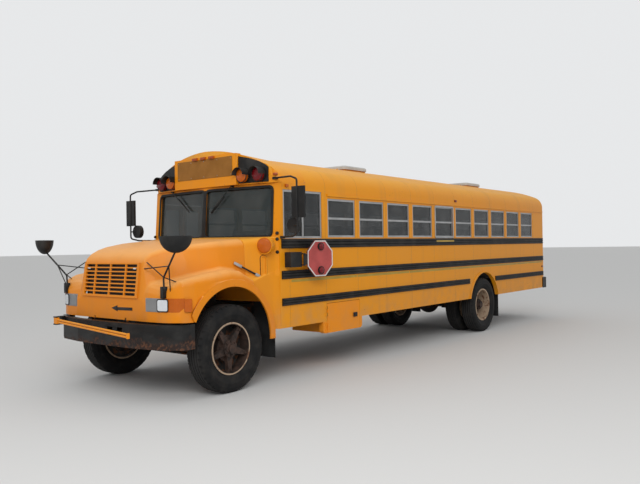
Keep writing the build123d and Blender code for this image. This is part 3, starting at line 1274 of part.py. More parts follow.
def rub_rails():
    """Ribbed steel rails along both sides."""
    rails = []
    for low, high, spans in RAILS:
        height = (high - low) / RIBS
        for x0, x1 in spans:
            outline = [(BODY_HALF + SEAT_GAP, low), (BODY_HALF + RAIL_PROUD / 2, low)]
            for rib in range(RIBS):
                z = low + rib * height
                outline += [(BODY_HALF + RAIL_PROUD, z + height * 0.2), (BODY_HALF + RAIL_PROUD, z + height * 0.8),
                            (BODY_HALF + RAIL_PROUD / 2, z + height)]
            outline.append((BODY_HALF + SEAT_GAP, high))
            rails.append(cross_prism(outline, x0, x1))
            right_x1 = min(x1, DOOR_X[0] - 60)
            rails.append(mirrored(cross_prism(outline, x0, right_x1)))
    return rails


def sash(x0, x1, z0, z1, bar_z):
    """One window's frame with its middle bar, in the left wall."""
    y1 = BODY_HALF - 8
    y0 = y1 - SASH_T
    gap = SEAT_GAP
    frame = box(x0 + gap, x1 - gap, y0, y1, z0 + gap, z1 - gap)
    frame -= box(x0 + SASH_W, x1 - SASH_W, y0 - 1, y1 + 1, z0 + SASH_W, bar_z - SASH_W / 2)
    frame -= box(x0 + SASH_W, x1 - SASH_W, y0 - 1, y1 + 1, bar_z + SASH_W / 2, z1 - SASH_W)
    return frame


def sash_panes(x0, x1, z0, z1, bar_z):
    """The two panes of one window."""
    y = BODY_HALF - 8 - SASH_T / 2
    spans = ((z0 + SASH_W, bar_z - SASH_W / 2), (bar_z + SASH_W / 2, z1 - SASH_W))
    return [box(x0 + SASH_W + SEAT_GAP, x1 - SASH_W - SEAT_GAP, y - GLASS_T / 2, y + GLASS_T / 2,
                low + SEAT_GAP, high - SEAT_GAP) for low, high in spans]


def driver_window():
    """Driver's sliding window: frame with an upright divider, and its two panes."""
    x0, x1 = DRIVER_WINDOW_X
    z0, z1 = DRIVER_WINDOW_Z
    middle = (x0 + x1) / 2
    y1 = BODY_HALF - 8
    y0 = y1 - SASH_T
    frame = box(x0 + SEAT_GAP, x1 - SEAT_GAP, y0, y1, z0 + SEAT_GAP, z1 - SEAT_GAP)
    panes = []
    for low, high in ((x0 + SASH_W, middle - SASH_W / 2), (middle + SASH_W / 2, x1 - SASH_W)):
        frame -= box(low, high, y0 - 1, y1 + 1, z0 + SASH_W, z1 - SASH_W)
        panes.append(box(low + SEAT_GAP, high - SEAT_GAP, y0 + 14, y0 + 14 + GLASS_T,
                         z0 + SASH_W + SEAT_GAP, z1 - SASH_W - SEAT_GAP))
    return frame, panes


def window_sashes():
    """Aluminium frames of every side window."""
    frames = [driver_window()[0]]
    for x0, x1 in window_spans():
        frames += both(sash(x0, x1, SILL_Z, HEAD_Z, MID_BAR_Z))
    return frames


def side_glass():
    """Panes of the side windows and of the fixed rear windows."""
    panes = list(driver_window()[1])
    for x0, x1 in window_spans():
        for pane in sash_panes(x0, x1, SILL_Z, HEAD_Z, MID_BAR_Z):
            panes += both(pane)
    x = BODY_REAR + 30
    pane = box(x - GLASS_T / 2, x + GLASS_T / 2, REAR_PANE_Y[0] + SEAT_GAP, REAR_PANE_Y[1] - SEAT_GAP,
               REAR_PANE_Z[0] + SEAT_GAP, REAR_PANE_Z[1] - SEAT_GAP)
    return panes + both(pane)


LAMP_Z = CAP_FOOT + 110
AMBER_LAMP_Y = 690
RED_LAMP_Y = 930
LAMP_R = 89
LAMP_SEAT = 32              # lamp's back ahead of the cap's face
PANEL_EDGE = (              # Y and Z round the black panel, arched like the roof over it
    (SIGN_HALF + 6, CAP_FOOT + 15), (BODY_HALF - 153, CAP_FOOT + 15), (BODY_HALF - 153, ROOF_Z - 224),
    (BODY_HALF - 200, ROOF_Z - 188), (BODY_HALF - 300, ROOF_Z - 140), (BODY_HALF - 440, ROOF_Z - 94),
    (SIGN_HALF + 6, ROOF_Z - 60),
)


def face_x(y):
    """X of the front cap's face at a distance from the middle."""
    return -665 - (y - 600) * (742 - 665) / (1120 - 600)


def lamp_panels():
    """Black backings with a hood over each warning lamp, front and rear."""
    panels = []
    for side in (-1, 1):
        backing = []
        inner, outer = PANEL_EDGE[0][0], PANEL_EDGE[1][0]
        for y in (inner, outer):
            backing.append((face_x(y) + SEAT_GAP, side * y))
        for y in (outer, inner):
            backing.append((face_x(y) + 14, side * y))
        panel = plan_prism(backing, PANEL_EDGE[0][1], ROOF_Z)
        panel &= cross_prism([(side * y, z) for y, z in PANEL_EDGE], -900, -500)
        for y in (AMBER_LAMP_Y, RED_LAMP_Y):
            x = face_x(y) + LAMP_SEAT - 18
            panel += rod((x, side * y, LAMP_Z), (x + 18, side * y, LAMP_Z), LAMP_R + 4)
            hood_ring = rod((x, side * y, LAMP_Z), (x + 130, side * y, LAMP_Z), LAMP_R + 4)
            hood_ring -= rod((x - 1, side * y, LAMP_Z), (x + 131, side * y, LAMP_Z), LAMP_R + 1)
            hood_ring &= box(x - 1, x + 140, side * y - 120, side * y + 120, LAMP_Z, LAMP_Z + 150)
            panel += hood_ring
        panels.append(panel)
    return panels


def amber_lamps():
    """Amber warning lamps, front markers and corner markers."""
    lamps = []
    for side in (-1, 1):
        x = face_x(AMBER_LAMP_Y) + LAMP_SEAT + SEAT_GAP
        lamps.append(rod((x, side * AMBER_LAMP_Y, LAMP_Z), (x + 35, side * AMBER_LAMP_Y, LAMP_Z), LAMP_R))
        y0, y1 = sorted((side * (BODY_HALF + SEAT_GAP), side * (BODY_HALF + 22)))
        lamps.append(box(-900, -850, y0, y1, DRIVER_EAVES_Z + 10, DRIVER_EAVES_Z + 42))
    for y in (-160, 0, 160):
        lamps.append(box(CAP_FRONT + 5 + SEAT_GAP, CAP_FRONT + 30, y - 45, y + 45, ROOF_Z - 57, ROOF_Z - 22))
    return lamps


def red_lamps():
    """Red warning lamps at the front, with the rear lamps."""
    lamps = []
    for side in (-1, 1):
        x = face_x(RED_LAMP_Y) + LAMP_SEAT + SEAT_GAP
        lamps.append(rod((x, side * RED_LAMP_Y, LAMP_Z), (x + 35, side * RED_LAMP_Y, LAMP_Z), LAMP_R))
        back = BODY_REAR - SEAT_GAP
        lamps.append(rod((back, side * 760, 1560), (back - 30, side * 760, 1560), LAMP_R))
        lamps.append(rod((back, side * 980, 1560), (back - 30, side * 980, 1560), 50))
    return lamps


def side_mirrors():
    """Flat and round mirrors on tube loops at both front corners."""
    top, foot = CAP_FOOT + 50, SILL_Z + 3
    out = BODY_HALF + 400
    loop = tube(((-735, BODY_HALF - 50, top), (-640, out - 120, top - 10), (-610, out, top - 50),
                 (-610, out, foot + 35),
                 (-660, out - 120, foot + 5), (-765, BODY_HALF + 35, foot)), 40, 11)
    loop += (box(-800, -725, BODY_HALF - 90, BODY_HALF - 35, top - 15, top + 15)
             - plan_prism(cap_outline(), CAP_FOOT - 40, ROOF_Z))
    loop += box(-790, -750, BODY_HALF + SEAT_GAP, BODY_HALF + 46, foot - 15, foot + 15)
    loop += box(-640, -612, out - 85, out + 105, 1985, 2355)
    loop += rod((-700, out - 95, 1900), (-640, out - 95, 1900), 92)
    loop += rod((-650, out - 95, 1900), (-610, out, 1900), 9)
    return both(loop)


def mud_flaps():
    """Rubber flaps behind the front and rear wheels."""
    flaps = []
    for side in (-1, 1):
        rear_x = REAR_AXLE_X - 748
        top = FLOOR_Z - FLOOR_T - SEAT_GAP
        flaps.append(box(rear_x, rear_x + 10, side * 620, side * (INSIDE_Y - 5), 215, top))
        flaps.append(box(-712, -704, side * 780, side * (BODY_HALF - 70), 300, top))
    return flaps


def stop_arm_box():
    """Motor box of the stop arm on the left wall, with the arm's hinge pin ears."""
    y = BODY_HALF + SEAT_GAP
    shape = box(-1040, -830, y, BODY_HALF + STOP_BOX_T, 1395, 1581)
    x, pin_y = STOP_HINGE
    for z in STOP_EARS:
        shape += box(x - 15, x + 30, pin_y - 35, pin_y + 15, z, z + STOP_EAR_T)
    height = STOP_EARS[1] + STOP_EAR_T - STOP_EARS[0]
    return shape + Pos(x, pin_y, STOP_EARS[0] + height / 2) * Cylinder(STOP_PIN_R, height)


def stop_sign():
    """Octagonal arm with its two lamps, on a bracket at the hinge."""
    octagon = RegularPolygon(STOP_W / 2, 8, major_radius=False, rotation=22.5)
    arm = Pos(-50 - STOP_W / 2, 0, 0) * (Rot(90, 0, 0) * extrude(octagon, 4, both=True))
    low = STOP_EARS[0] + STOP_EAR_T + SEAT_GAP - STOP_Z
    high = STOP_EARS[1] - SEAT_GAP - STOP_Z
    arm += box(-120, 0, -8, 8, low, high)
    arm += Pos(0, 0, (low + high) / 2) * Cylinder(STOP_PIN_R + 6, high - low)
    arm -= Pos(0, 0, (low + high) / 2) * Cylinder(STOP_PIN_R + RUNNING_GAP, high - low + 2)
    for z in (-150, 150):
        arm += drum(48, -26, 26, x=-50 - STOP_W / 2, z=z)
    return Pos(STOP_HINGE[0], STOP_HINGE[1], STOP_Z) * Rot(0, 0, -STOP_OPEN) * arm


def crossing_arm():
    """Double rod arm folded across the bumper, slightly open as it stands."""
    arm = rod((0, 0, -14), (0, ARM_L, -62), 12) + rod((0, 0, 14), (0, ARM_L, -34), 12)
    arm += box(-14, 14, ARM_L - 12, ARM_L + 12, -76, -20)
    arm += box(-16, 16, -26, 60, -ARM_HUB_H, ARM_HUB_H)
    arm -= Cylinder(ARM_PIN_R + RUNNING_GAP, 2 * ARM_HUB_H + 2)
    return Pos(ARM_HINGE[0], ARM_HINGE[1], ARM_Z) * Rot(0, 0, -ARM_OPEN) * arm


def nodes():
    """Every node's shape by name."""
    left_front = Pos(0, FRONT_TYRE_Y, AXLE_Z)
    left_rear = Pos(REAR_AXLE_X, DUAL_OUTER_Y, AXLE_Z)
    front = left_front * front_wheel()
    rubber = tyre()
    front_rubber = left_front * rubber
    rear = left_rear * rear_wheels()
    rear_rubber = [left_rear * rubber, Pos(0, -DUAL_SPACING, 0) * left_rear * rubber]
    left_knuckle = knuckle()
    return {
        "chassis_frame": chassis_frame(),
        "engine_block": engine_block(),
        "radiator": radiator(),
        "front_axle": front_axle(),
        "rear_axle": rear_axle(),
        "fuel_tank": fuel_tank(),
        "exhaust": exhaust(),
        "bumpers": [front_bumper(), rear_bumper()],
        "floor": floor(),
        "wheel_houses": wheel_houses(),
        "entrance_steps": entrance_steps(),
        "left_wall": left_wall(),
        "right_wall": right_wall(),
        "rear_wall": rear_wall(),
        "roof": crown_sheets(roof()) + hatch_curbs(),
        "roof_sides": side_sheets(roof()),
        "front_cap": front_cap(),
        "front_wall": front_wall(),
        "windshield": windshield(),
        "cowl": cowl(),
        "lamp_panels": lamp_panels(),
        "amber_lamps": amber_lamps(),
        "red_lamps": red_lamps(),
        "rub_rails": rub_rails(),
        "window_sashes": window_sashes(),
        "side_glass": side_glass(),
        "seats": seats(),
        "seat_frames": seat_frames(),
        "dashboard": dashboard(),
        "battery_box": battery_box(),
        "side_mirrors": side_mirrors(),
        "mud_flaps": mud_flaps(),
        "stop_arm_box": stop_arm_box(),
        "hood": hood(),
        "grille": grille(),
        "headlamps": headlamps(),
        "corner_lamps": corner_lamps(),
        "cross_mirrors": cross_mirrors(),
        "stop_sign": stop_sign(),
        "crossing_arm": crossing_arm(),
        "battery_door": battery_door(),
        "entrance_front": leaf(1),
        "entrance_front_glass": leaf_glass(1),
        "entrance_rear": leaf(0),
        "entrance_rear_glass": leaf_glass(0),
        "emergency_door": emergency_door(),
        "emergency_glass": emergency_glass(),
        "hatch_front": hatch(HATCH_XS[0]),
        "hatch_rear": hatch(HATCH_XS[1]),
        "knuckle_left": left_knuckle,
        "knuckle_right": mirrored(left_knuckle),
        "tie_rod": tie_rod(),
        "tyre_front_left": front_rubber,
        "tyre_front_right": mirrored(front_rubber),
        "wheel_front_left": front,
        "wheel_front_right": mirrored(front),
        "tyres_rear_left": rear_rubber,
        "tyres_rear_right": [mirrored(t) for t in rear_rubber],
        "wheels_rear_left": rear,
        "wheels_rear_right": mirrored(rear),
    }


def centring(shapes):
    """Move that puts the middle of the bus's length on the origin."""
    boxes = [solid.bounding_box() for shape in shapes for solid in shape]
    middle = (min(b.min.X for b in boxes) + max(b.max.X for b in boxes)) / 2
    return Pos(-middle, 0, 0)


def solid_lists():
    """Each node's solids, by name."""
    lists = {}
    for name, shape in nodes().items():
        pieces = shape if isinstance(shape, list) else [shape]
        lists[name] = [solid for piece in pieces for solid in piece.solids()]
    return lists


if __name__ == "__main__":
    os.makedirs("parts", exist_ok=True)
    solids_of = solid_lists()
    move = centring(solids_of.values())
    for name, solids in solids_of.items():
        export_step(move * Compound(solids), f"parts/{name}.step")
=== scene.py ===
from math import atan2, cos, hypot, pi, radians, sin
import bpy
from mathutils import Matrix, Vector
from mathutils.bvhtree import BVHTree


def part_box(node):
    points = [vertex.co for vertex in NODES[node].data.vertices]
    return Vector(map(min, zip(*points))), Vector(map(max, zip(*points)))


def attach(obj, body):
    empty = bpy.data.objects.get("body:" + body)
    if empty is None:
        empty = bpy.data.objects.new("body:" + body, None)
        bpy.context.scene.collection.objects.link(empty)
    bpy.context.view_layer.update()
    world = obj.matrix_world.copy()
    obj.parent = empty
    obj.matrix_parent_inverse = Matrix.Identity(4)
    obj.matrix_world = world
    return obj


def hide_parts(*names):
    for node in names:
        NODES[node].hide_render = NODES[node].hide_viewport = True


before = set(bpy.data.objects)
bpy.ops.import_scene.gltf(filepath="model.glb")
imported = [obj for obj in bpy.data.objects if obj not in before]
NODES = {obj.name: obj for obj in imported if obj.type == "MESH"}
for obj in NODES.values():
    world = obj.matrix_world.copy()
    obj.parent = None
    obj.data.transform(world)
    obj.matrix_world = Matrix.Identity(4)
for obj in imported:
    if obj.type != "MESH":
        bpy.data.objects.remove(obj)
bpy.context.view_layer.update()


# The camera. It stands at the left front corner, at head height, where the photograph
# was taken, and looks back along the bus. All places are laid out from the front axle.
AXLE_X = sum(corner.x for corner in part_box("tyre_front_left")) / 2


def at(x, y, z):
    """Point at these distances from the front axle, the middle of the bus and the ground."""
    return Vector((AXLE_X + x, y, z))


CAMERA_PLACE = at(5.353, 6.702, 1.652)
CAMERA_YAW = radians(38.645)
CAMERA_PITCH = radians(0.326)
CAMERA_ROLL = radians(-0.932)
FOCAL_PIXELS = 673.85
PHOTO_WIDTH = 640
SENSOR_WIDTH = 36

level = cos(CAMERA_PITCH)
ahead = Vector((-cos(CAMERA_YAW) * level, -sin(CAMERA_YAW) * level, sin(CAMERA_PITCH)))
level_right = ahead.cross(Vector((0, 0, 1))).normalized()
level_up = level_right.cross(ahead)
right = level_right * cos(CAMERA_ROLL) + level_up * sin(CAMERA_ROLL)
up = level_up * cos(CAMERA_ROLL) - level_right * sin(CAMERA_ROLL)
lens = bpy.data.cameras.new("camera")
lens.sensor_width = SENSOR_WIDTH
lens.lens = FOCAL_PIXELS / PHOTO_WIDTH * SENSOR_WIDTH
camera = bpy.data.objects.new("camera", lens)
camera_turn = Matrix((right, up, -ahead)).transposed()
camera.matrix_world = Matrix.Translation(CAMERA_PLACE) @ camera_turn.to_4x4()
bpy.context.scene.collection.objects.link(camera)
bpy.context.scene.camera = camera
bpy.context.scene.view_settings.view_transform = "Standard"


# The finishes. Each is a Principled shader whose colour, roughness and bump come
# from noise in the bus's own coordinates, at the size that the real wear has.
class Value:
    """A shader socket that Python's operators add Math nodes to."""

    def __init__(self, nodes, socket):
        self.nodes = nodes
        self.socket = socket

    def math(self, operation, first, second):
        return self.nodes.node("ShaderNodeMath", {"operation": operation}, {0: first, 1: second})

    def __add__(self, other):
        return self.math("ADD", self, other)

    def __sub__(self, other):
        return self.math("SUBTRACT", self, other)

    def __rsub__(self, other):
        return self.math("SUBTRACT", other, self)

    def __mul__(self, other):
        return self.math("MULTIPLY", self, other)

    def __gt__(self, other):
        return self.math("GREATER_THAN", self, other)

    def __or__(self, other):
        return self.math("MAXIMUM", self, other)

    __radd__ = __add__
    __rmul__ = __mul__


class Nodes:
    """A node tree that takes its nodes one at a time."""

    def __init__(self, tree):
        self.tree = tree

    def node(self, kind, settings, sockets, output=0):
        """Adds a node and gives one of its outputs."""
        made = self.tree.nodes.new(kind)
        for name, value in settings.items():
            if name == "stops":
                for element, (position, colour) in zip(made.color_ramp.elements, value):
                    element.position = position
                    element.color = (*colour, 1)
            else:
                setattr(made, name, value)
        for name, value in sockets.items():
            if isinstance(value, Value):
                self.tree.links.new(value.socket, made.inputs[name])
            else:
                made.inputs[name].default_value = value
        return Value(self, made.outputs[output])


class Finish(Nodes):
    """A material, with the patterns that the bus's finishes are made of."""

    def __init__(self, name):
        self.material = bpy.data.materials.new(name)
        self.material.use_nodes = True
        super().__init__(self.material.node_tree)
        self.shader = self.tree.nodes["Principled BSDF"]
        self.place = self.node("ShaderNodeTexCoord", {}, {}, "Object")
        self.x, self.y, self.z = (self.node("ShaderNodeSeparateXYZ", {}, {0: self.place}, axis)
                                  for axis in "XYZ")

    def noise(self, scale, detail=3, stretch=(1, 1, 1), shift=0):
        """Cloudy noise from 0 to 1, its scale in blobs per metre."""
        vector = self.node("ShaderNodeMapping", {},
                           {"Vector": self.place, "Location": (shift,) * 3, "Scale": stretch})
        return self.node("ShaderNodeTexNoise", {},
                         {"Vector": vector, "Scale": scale, "Detail": detail}, "Fac")

    def between(self, value, low, high):
        """0 where the value is at low, 1 where it is at high, and smooth between."""
        return self.node("ShaderNodeMapRange", {"interpolation_type": "SMOOTHSTEP"},
                         {"Value": value, "From Min": low, "From Max": high})

    def blend(self, mask, first, second):
        """Colour that goes from the first to the second as the mask goes from 0 to 1."""
        colours = {6: first if isinstance(first, Value) else (*first, 1),
                   7: second if isinstance(second, Value) else (*second, 1)}
        return self.node("ShaderNodeMix", {"data_type": "RGBA"}, {0: mask, **colours}, 2)

    def repeats(self, value, pitch):
        """Distance to the nearest of the lines that are the pitch apart."""
        return self.node("ShaderNodeMath", {"operation": "PINGPONG"}, {0: value, 1: pitch / 2})

    def near(self, value, middle, reach):
        """1 where the value is at the middle, 0 where it is further off than the reach."""
        off = self.node("ShaderNodeMath", {"operation": "ABSOLUTE"}, {0: value - middle})
        return 1 - self.between(off, reach * 0.7, reach)

    def distance(self, centre):
        """Distance from a wheel's axle, which lies across the bus."""
        flat = self.node("ShaderNodeCombineXYZ", {}, {0: self.x - centre.x, 2: self.z - centre.z})
        return self.node("ShaderNodeVectorMath", {"operation": "LENGTH"}, {0: flat}, "Value")

    def facing_up(self):
        """1 on faces that look at the sky, 0 on upright ones."""
        normal = self.node("ShaderNodeNewGeometry", {}, {}, "Normal")
        return self.node("ShaderNodeSeparateXYZ", {}, {0: normal}, "Z")

    def bump(self, height, distance, strength):
        """Raises the surface by the height times the distance, in metres."""
        self.shade(Normal=self.node("ShaderNodeBump", {},
                                    {"Height": height, "Distance": distance, "Strength": strength}))

    def shade(self, **sockets):
        """Sets or links the shader's sockets."""
        for name, value in sockets.items():
            socket = self.shader.inputs[name.replace("_", " ")]
            if isinstance(value, Value):
                self.tree.links.new(value.socket, socket)
            elif isinstance(value, tuple):
                socket.default_value = (*value, 1)
            else:
                socket.default_value = value


# The studio: a pale floor that runs out of sight, and soft light from a bright sky
# overhead with one broad lamp from the front. Glass and gloss see a plain backdrop.
FLOOR_SIZE = 400
SKY_STRENGTH = 0.85
LAMP_PLACE = Vector((12, 9, 8))
LAMP_AIM = Vector((1.5, 0, 1.2))
LAMP_WIDTH = 9
LAMP_HEIGHT = 5
LAMP_WATTS = 900

bpy.ops.mesh.primitive_plane_add(size=FLOOR_SIZE, location=(0, 0, 0))
floor = bpy.context.object
floor.name = "studio_floor"
pale = Finish("studio_floor")
pale.shade(Base_Color=(0.62, 0.62, 0.61), Roughness=0.9)
floor.data.materials.append(pale.material)

world = bpy.data.worlds.new("studio")
world.use_nodes = True
bpy.context.scene.world = world
sky = Nodes(world.node_tree)
sky.tree.nodes.remove(sky.tree.nodes["Background"])
direction = sky.node("ShaderNodeTexCoord", {}, {}, "Generated")
height = sky.node("ShaderNodeSeparateXYZ", {}, {0: direction}, "Z")
brightness = sky.node("ShaderNodeValToRGB",
                      {"stops": ((0.35, (0.62, 0.63, 0.65)), (0.85, (1.0, 1.0, 1.0)))}, {0: height})
light = sky.node("ShaderNodeBackground", {}, {"Color": brightness, "Strength": SKY_STRENGTH})
backdrop = sky.node("ShaderNodeBackground", {}, {"Color": (0.80, 0.81, 0.82, 1)})
straight, through, mirrored = (sky.node("ShaderNodeLightPath", {}, {}, f"Is {ray} Ray")
                               for ray in ("Camera", "Transmission", "Glossy"))
seen = sky.node("ShaderNodeMixShader", {}, {0: straight | through | mirrored, 1: light, 2: backdrop})
sky.tree.links.new(seen.socket, sky.tree.nodes["World Output"].inputs["Surface"])

lamp = bpy.data.lights.new("front_lamp", "AREA")
lamp.shape = "RECTANGLE"
lamp.size = LAMP_WIDTH
lamp.size_y = LAMP_HEIGHT
lamp.energy = LAMP_WATTS
lamp_object = bpy.data.objects.new("front_lamp", lamp)
lamp_object.location = LAMP_PLACE
lamp_object.rotation_euler = (LAMP_AIM - LAMP_PLACE).to_track_quat("-Z", "Y").to_euler()
bpy.context.scene.collection.objects.link(lamp_object)


# Body paint: sprayed enamel on steel panels. It has faded where the sun reaches it,
# holds road dust low down and has dull streaks, small chips and rivets at each seam,
# with painted shade in the seam grooves and on the rivets.
SEAM_X = AXLE_X - 1.649
SEAM_PITCH = 0.727
SEAM_GROOVE = 0.0012
RIVET_OFF_SEAM = 0.016
RIVET_PITCH = 0.055
STREAK_BROWN = (0.30, 0.19, 0.08)
ROAD_DUST = (0.27, 0.21, 0.15)
DUST_LOW, DUST_HIGH = 0.62, 1.15
CHIP_RUST = (0.16, 0.07, 0.03)
# Painted shade: brown laid into each seam groove and onto each rivet head.
SEAM_PAINTED_SHADE = (0.16, 0.09, 0.03)
RIVET_PAINTED_SHADE = (0.35, 0.22, 0.09)


def dress(finish, *names):
    """Gives CAD nodes a finish."""
    for name in names:
        for slot in NODES[name].material_slots:
            slot.material = finish.material


def lightened(colour, share):
    """The colour times the share, with a little grey in it."""
    return tuple(min(1, share * part + 0.01) for part in colour)


def body_paint(name, fresh, faded, dust=0.28, seams=True):
    """Enamel from its fresh and its faded colour, with as much dust low down as is given."""
    paint = Finish(name)
    cloud = paint.noise(0.9, 4)
    worn = paint.blend(paint.between(cloud, 0.35, 0.7), fresh, lightened(fresh, 0.96))
    sun = paint.between(paint.facing_up() + paint.noise(3, 3, shift=4) * 0.25, 0.25, 1.1)
    worn = paint.blend(sun, worn, faded)
    streak = paint.between(paint.noise(5, 3, (1, 1, 0.12), 7), 0.5, 0.75)
    worn = paint.blend(streak * 0.12, worn, STREAK_BROWN)
    low = 1 - paint.between(paint.z, DUST_LOW, DUST_HIGH)
    grime = low * paint.between(paint.noise(7, 4, shift=2), 0.3, 0.75) * dust
    worn = paint.blend(grime, worn, ROAD_DUST)
    chipped_area = paint.between(paint.noise(1.7, 2, shift=5), 0.5, 0.62)
    chip = paint.between(paint.noise(38, 2, shift=9), 0.735, 0.75) * chipped_area
    worn = paint.blend(chip, worn, CHIP_RUST)
    height = paint.noise(0.7, 1) * 6 + paint.noise(220, 1) * 0.06 - chip * 0.2
    if seams:
        along = paint.repeats(paint.x - SEAM_X, SEAM_PITCH)
        groove = 1 - paint.between(along, SEAM_GROOVE, SEAM_GROOVE * 2.5)
        beside = paint.near(along, RIVET_OFF_SEAM, 0.0055)
        rung = paint.repeats(paint.z, RIVET_PITCH)
        roof_rung = paint.repeats(paint.y, RIVET_PITCH) * paint.facing_up()
        rivet = beside * paint.near(rung + roof_rung, 0, 0.007)
        # Painted shade darkens the seam grooves and the rivet heads.
        worn = paint.blend(groove * 0.6, worn, SEAM_PAINTED_SHADE)
        worn = paint.blend(rivet * 0.25, worn, RIVET_PAINTED_SHADE)
        height = height + rivet * 1.6 - groove * 1.5
    paint.shade(Base_Color=worn, Roughness=0.33 + cloud * 0.12 + grime * 0.4 + sun * 0.18,
                Coat_Weight=0.04, Specular_IOR_Level=0.18)
    paint.bump(height, 0.0012, 0.6)
    return paint


yellow = body_paint("body_yellow", (0.76, 0.285, 0.004), (0.80, 0.37, 0.035))
smooth_yellow = body_paint("smooth_yellow", (0.75, 0.265, 0.003), (0.80, 0.36, 0.04), seams=False)
deep_yellow = body_paint("hood_yellow", (0.73, 0.225, 0.002), (0.83, 0.39, 0.11), seams=False)
orange = body_paint("door_orange", (0.80, 0.26, 0.002), (0.82, 0.33, 0.02), 0.15, seams=False)
dress(yellow, "left_wall", "right_wall", "rear_wall", "roof", "roof_sides")
dress(smooth_yellow, "front_wall", "entrance_front", "entrance_rear", "emergency_door")
dress(deep_yellow, "grille")
dress(orange, "battery_door", "battery_box", "crossing_arm")


# Black enamel on the rails, lamp backings, bumpers and mirror heads. It has greyed
# with dust, and the frame and bumpers have rusted where stones and kerbs hit them.
def black_paint(name, tone, rust=0.0, gloss=0.4):
    """Black of the given tone, with more rust in it as rust goes up from 0 to about 1."""
    paint = Finish(name)
    rusted = min(rust, 1.0)
    cloud = paint.noise(4, 4, shift=1)
    worn = paint.blend(paint.between(cloud, 0.4, 0.75) * 0.35, (tone,) * 3, (0.085, 0.078, 0.07))
    edge = paint.between(paint.noise(9, 4, shift=3), 0.62 - 0.12 * rust, 0.7 - 0.1 * rust)
    worn = paint.blend(edge * rusted, worn, (0.13, 0.05, 0.022))
    paint.shade(Base_Color=worn, Roughness=gloss + cloud * 0.25 + edge * (0.35 * rusted),
                Specular_IOR_Level=0.25)
    paint.bump(paint.noise(160, 2) * 0.1 + edge * 0.5, 0.0012, 0.5)
    return paint


def bumper_paint():
    """Black, and on the front bumper rust that has spread up from its lower edge."""
    paint = Finish("bumper_black")
    cloud = paint.noise(5, 5, (1, 1, 2.2), 3)
    dusty = paint.between(cloud, 0.35, 0.8)
    black_tone = paint.blend(dusty, (0.006, 0.006, 0.006), (0.022, 0.021, 0.020))
    edge = paint.between(paint.z + cloud * 0.26 - paint.y * 0.035, 0.80, 0.70)
    fleck = paint.between(paint.noise(30, 4, shift=6), 0.45, 0.62)
    rise = edge * (fleck * 0.45 + 0.55) * (paint.x > AXLE_X)
    rusty = paint.blend(fleck, (0.035, 0.016, 0.011), (0.11, 0.048, 0.026))
    paint.shade(Base_Color=paint.blend(rise, black_tone, rusty), Roughness=0.42 + rise * 0.4,
                Specular_IOR_Level=0.25)
    paint.bump(paint.noise(90, 3) * 0.3 + rise * fleck * 0.5, 0.0015, 0.6)
    return paint


black = black_paint("body_black", 0.008)
frame_black = black_paint("chassis_black", 0.014, 0.9, 0.6)
dress(black, "rub_rails", "lamp_panels", "stop_arm_box", "side_mirrors", "stop_sign")
dress(frame_black, "chassis_frame", "front_axle", "rear_axle", "knuckle_left", "knuckle_right",
      "tie_rod", "fuel_tank")
dress(bumper_paint(), "bumpers")


# The other plain stuffs: rubber, castings, vinyl, glass and lenses. Each has a fine
# grain of its own kind and a cloud of light wear.
def plain(name, colour, roughness, grain=120, depth=0.0003, wear=1.25, **sockets):
    """One colour that wear lightens in clouds, with a grain as fine and deep as is given."""
    finish = Finish(name)
    cloud = finish.noise(6, 3)
    shade = finish.blend(finish.between(cloud, 0.3, 0.8), colour, lightened(colour, wear))
    finish.shade(Base_Color=shade, Roughness=roughness + cloud * 0.1, **sockets)
    finish.bump(finish.noise(grain, 2), depth, 0.5)
    return finish


def glass_finish(name, colour, alpha, film):
    """Glass with a film of dust in soft patches."""
    finish = Finish(name)
    dusty = finish.between(finish.noise(5, 4, (1, 1, 0.6)), 0.35, 0.85)
    finish.shade(Base_Color=finish.blend(dusty * film, colour, (0.34, 0.33, 0.30)),
                 Roughness=0.04 + dusty * 0.1, Alpha=alpha + dusty * (film * 0.25))
    return finish


def ribbed_lens(name, colour, pitch, gloss=0.12):
    """Moulded plastic lens with fine upright ribs."""
    finish = Finish(name)
    rib = finish.repeats(finish.y + finish.x * 0.6, pitch)
    dull = finish.between(finish.noise(12, 3), 0.4, 0.8)
    finish.shade(Base_Color=finish.blend(dull * 0.35, colour, lightened(colour, 1.3)),
                 Roughness=gloss + dull * 0.12, Coat_Weight=0.1, Specular_IOR_Level=0.3)
    finish.bump(rib * (2 / pitch), 0.0015, 0.7)
    return finish


LENS_RIB = 0.012
amber = ribbed_lens("amber_lens", (0.46, 0.095, 0.002), LENS_RIB)
marker_amber = ribbed_lens("marker_amber", (0.33, 0.06, 0.006), LENS_RIB, 0.3)
red = ribbed_lens("red_lens", (0.14, 0.003, 0.006), LENS_RIB)
# Black rubber for the seals and lamp rims, also used for the painted shade round the cowl slots.
rubber_and_shade_black = plain("rubber_and_shade_black", (0.010, 0.010, 0.010), 0.55, Specular_IOR_Level=0.25)
aluminium = plain("sash_aluminium", (0.36, 0.36, 0.36), 0.38, Metallic=0.8)
inside_grey = plain("inside_grey", (0.2, 0.2, 0.2), 0.5)
white_paint = plain("sign_white", (0.55, 0.54, 0.52), 0.45)
dress(black_paint("engine_iron", 0.05, 0.6, 0.7), "engine_block")
dress(black_paint("exhaust_steel", 0.06, 1.1, 0.65), "exhaust")
dress(plain("radiator_grey", (0.05, 0.05, 0.052), 0.6, 400, 0.001), "radiator")
dress(plain("flap_rubber", (0.014, 0.014, 0.014), 0.8, Specular_IOR_Level=0.2), "mud_flaps")
dress(glass_finish("tinted_glass", (0.012, 0.016, 0.018), 0.66, 0.16),
      "side_glass", "entrance_front_glass", "entrance_rear_glass", "emergency_glass")
dress(glass_finish("clear_glass", (0.016, 0.026, 0.026), 0.62, 0.12), "windshield")
dress(aluminium, "window_sashes")
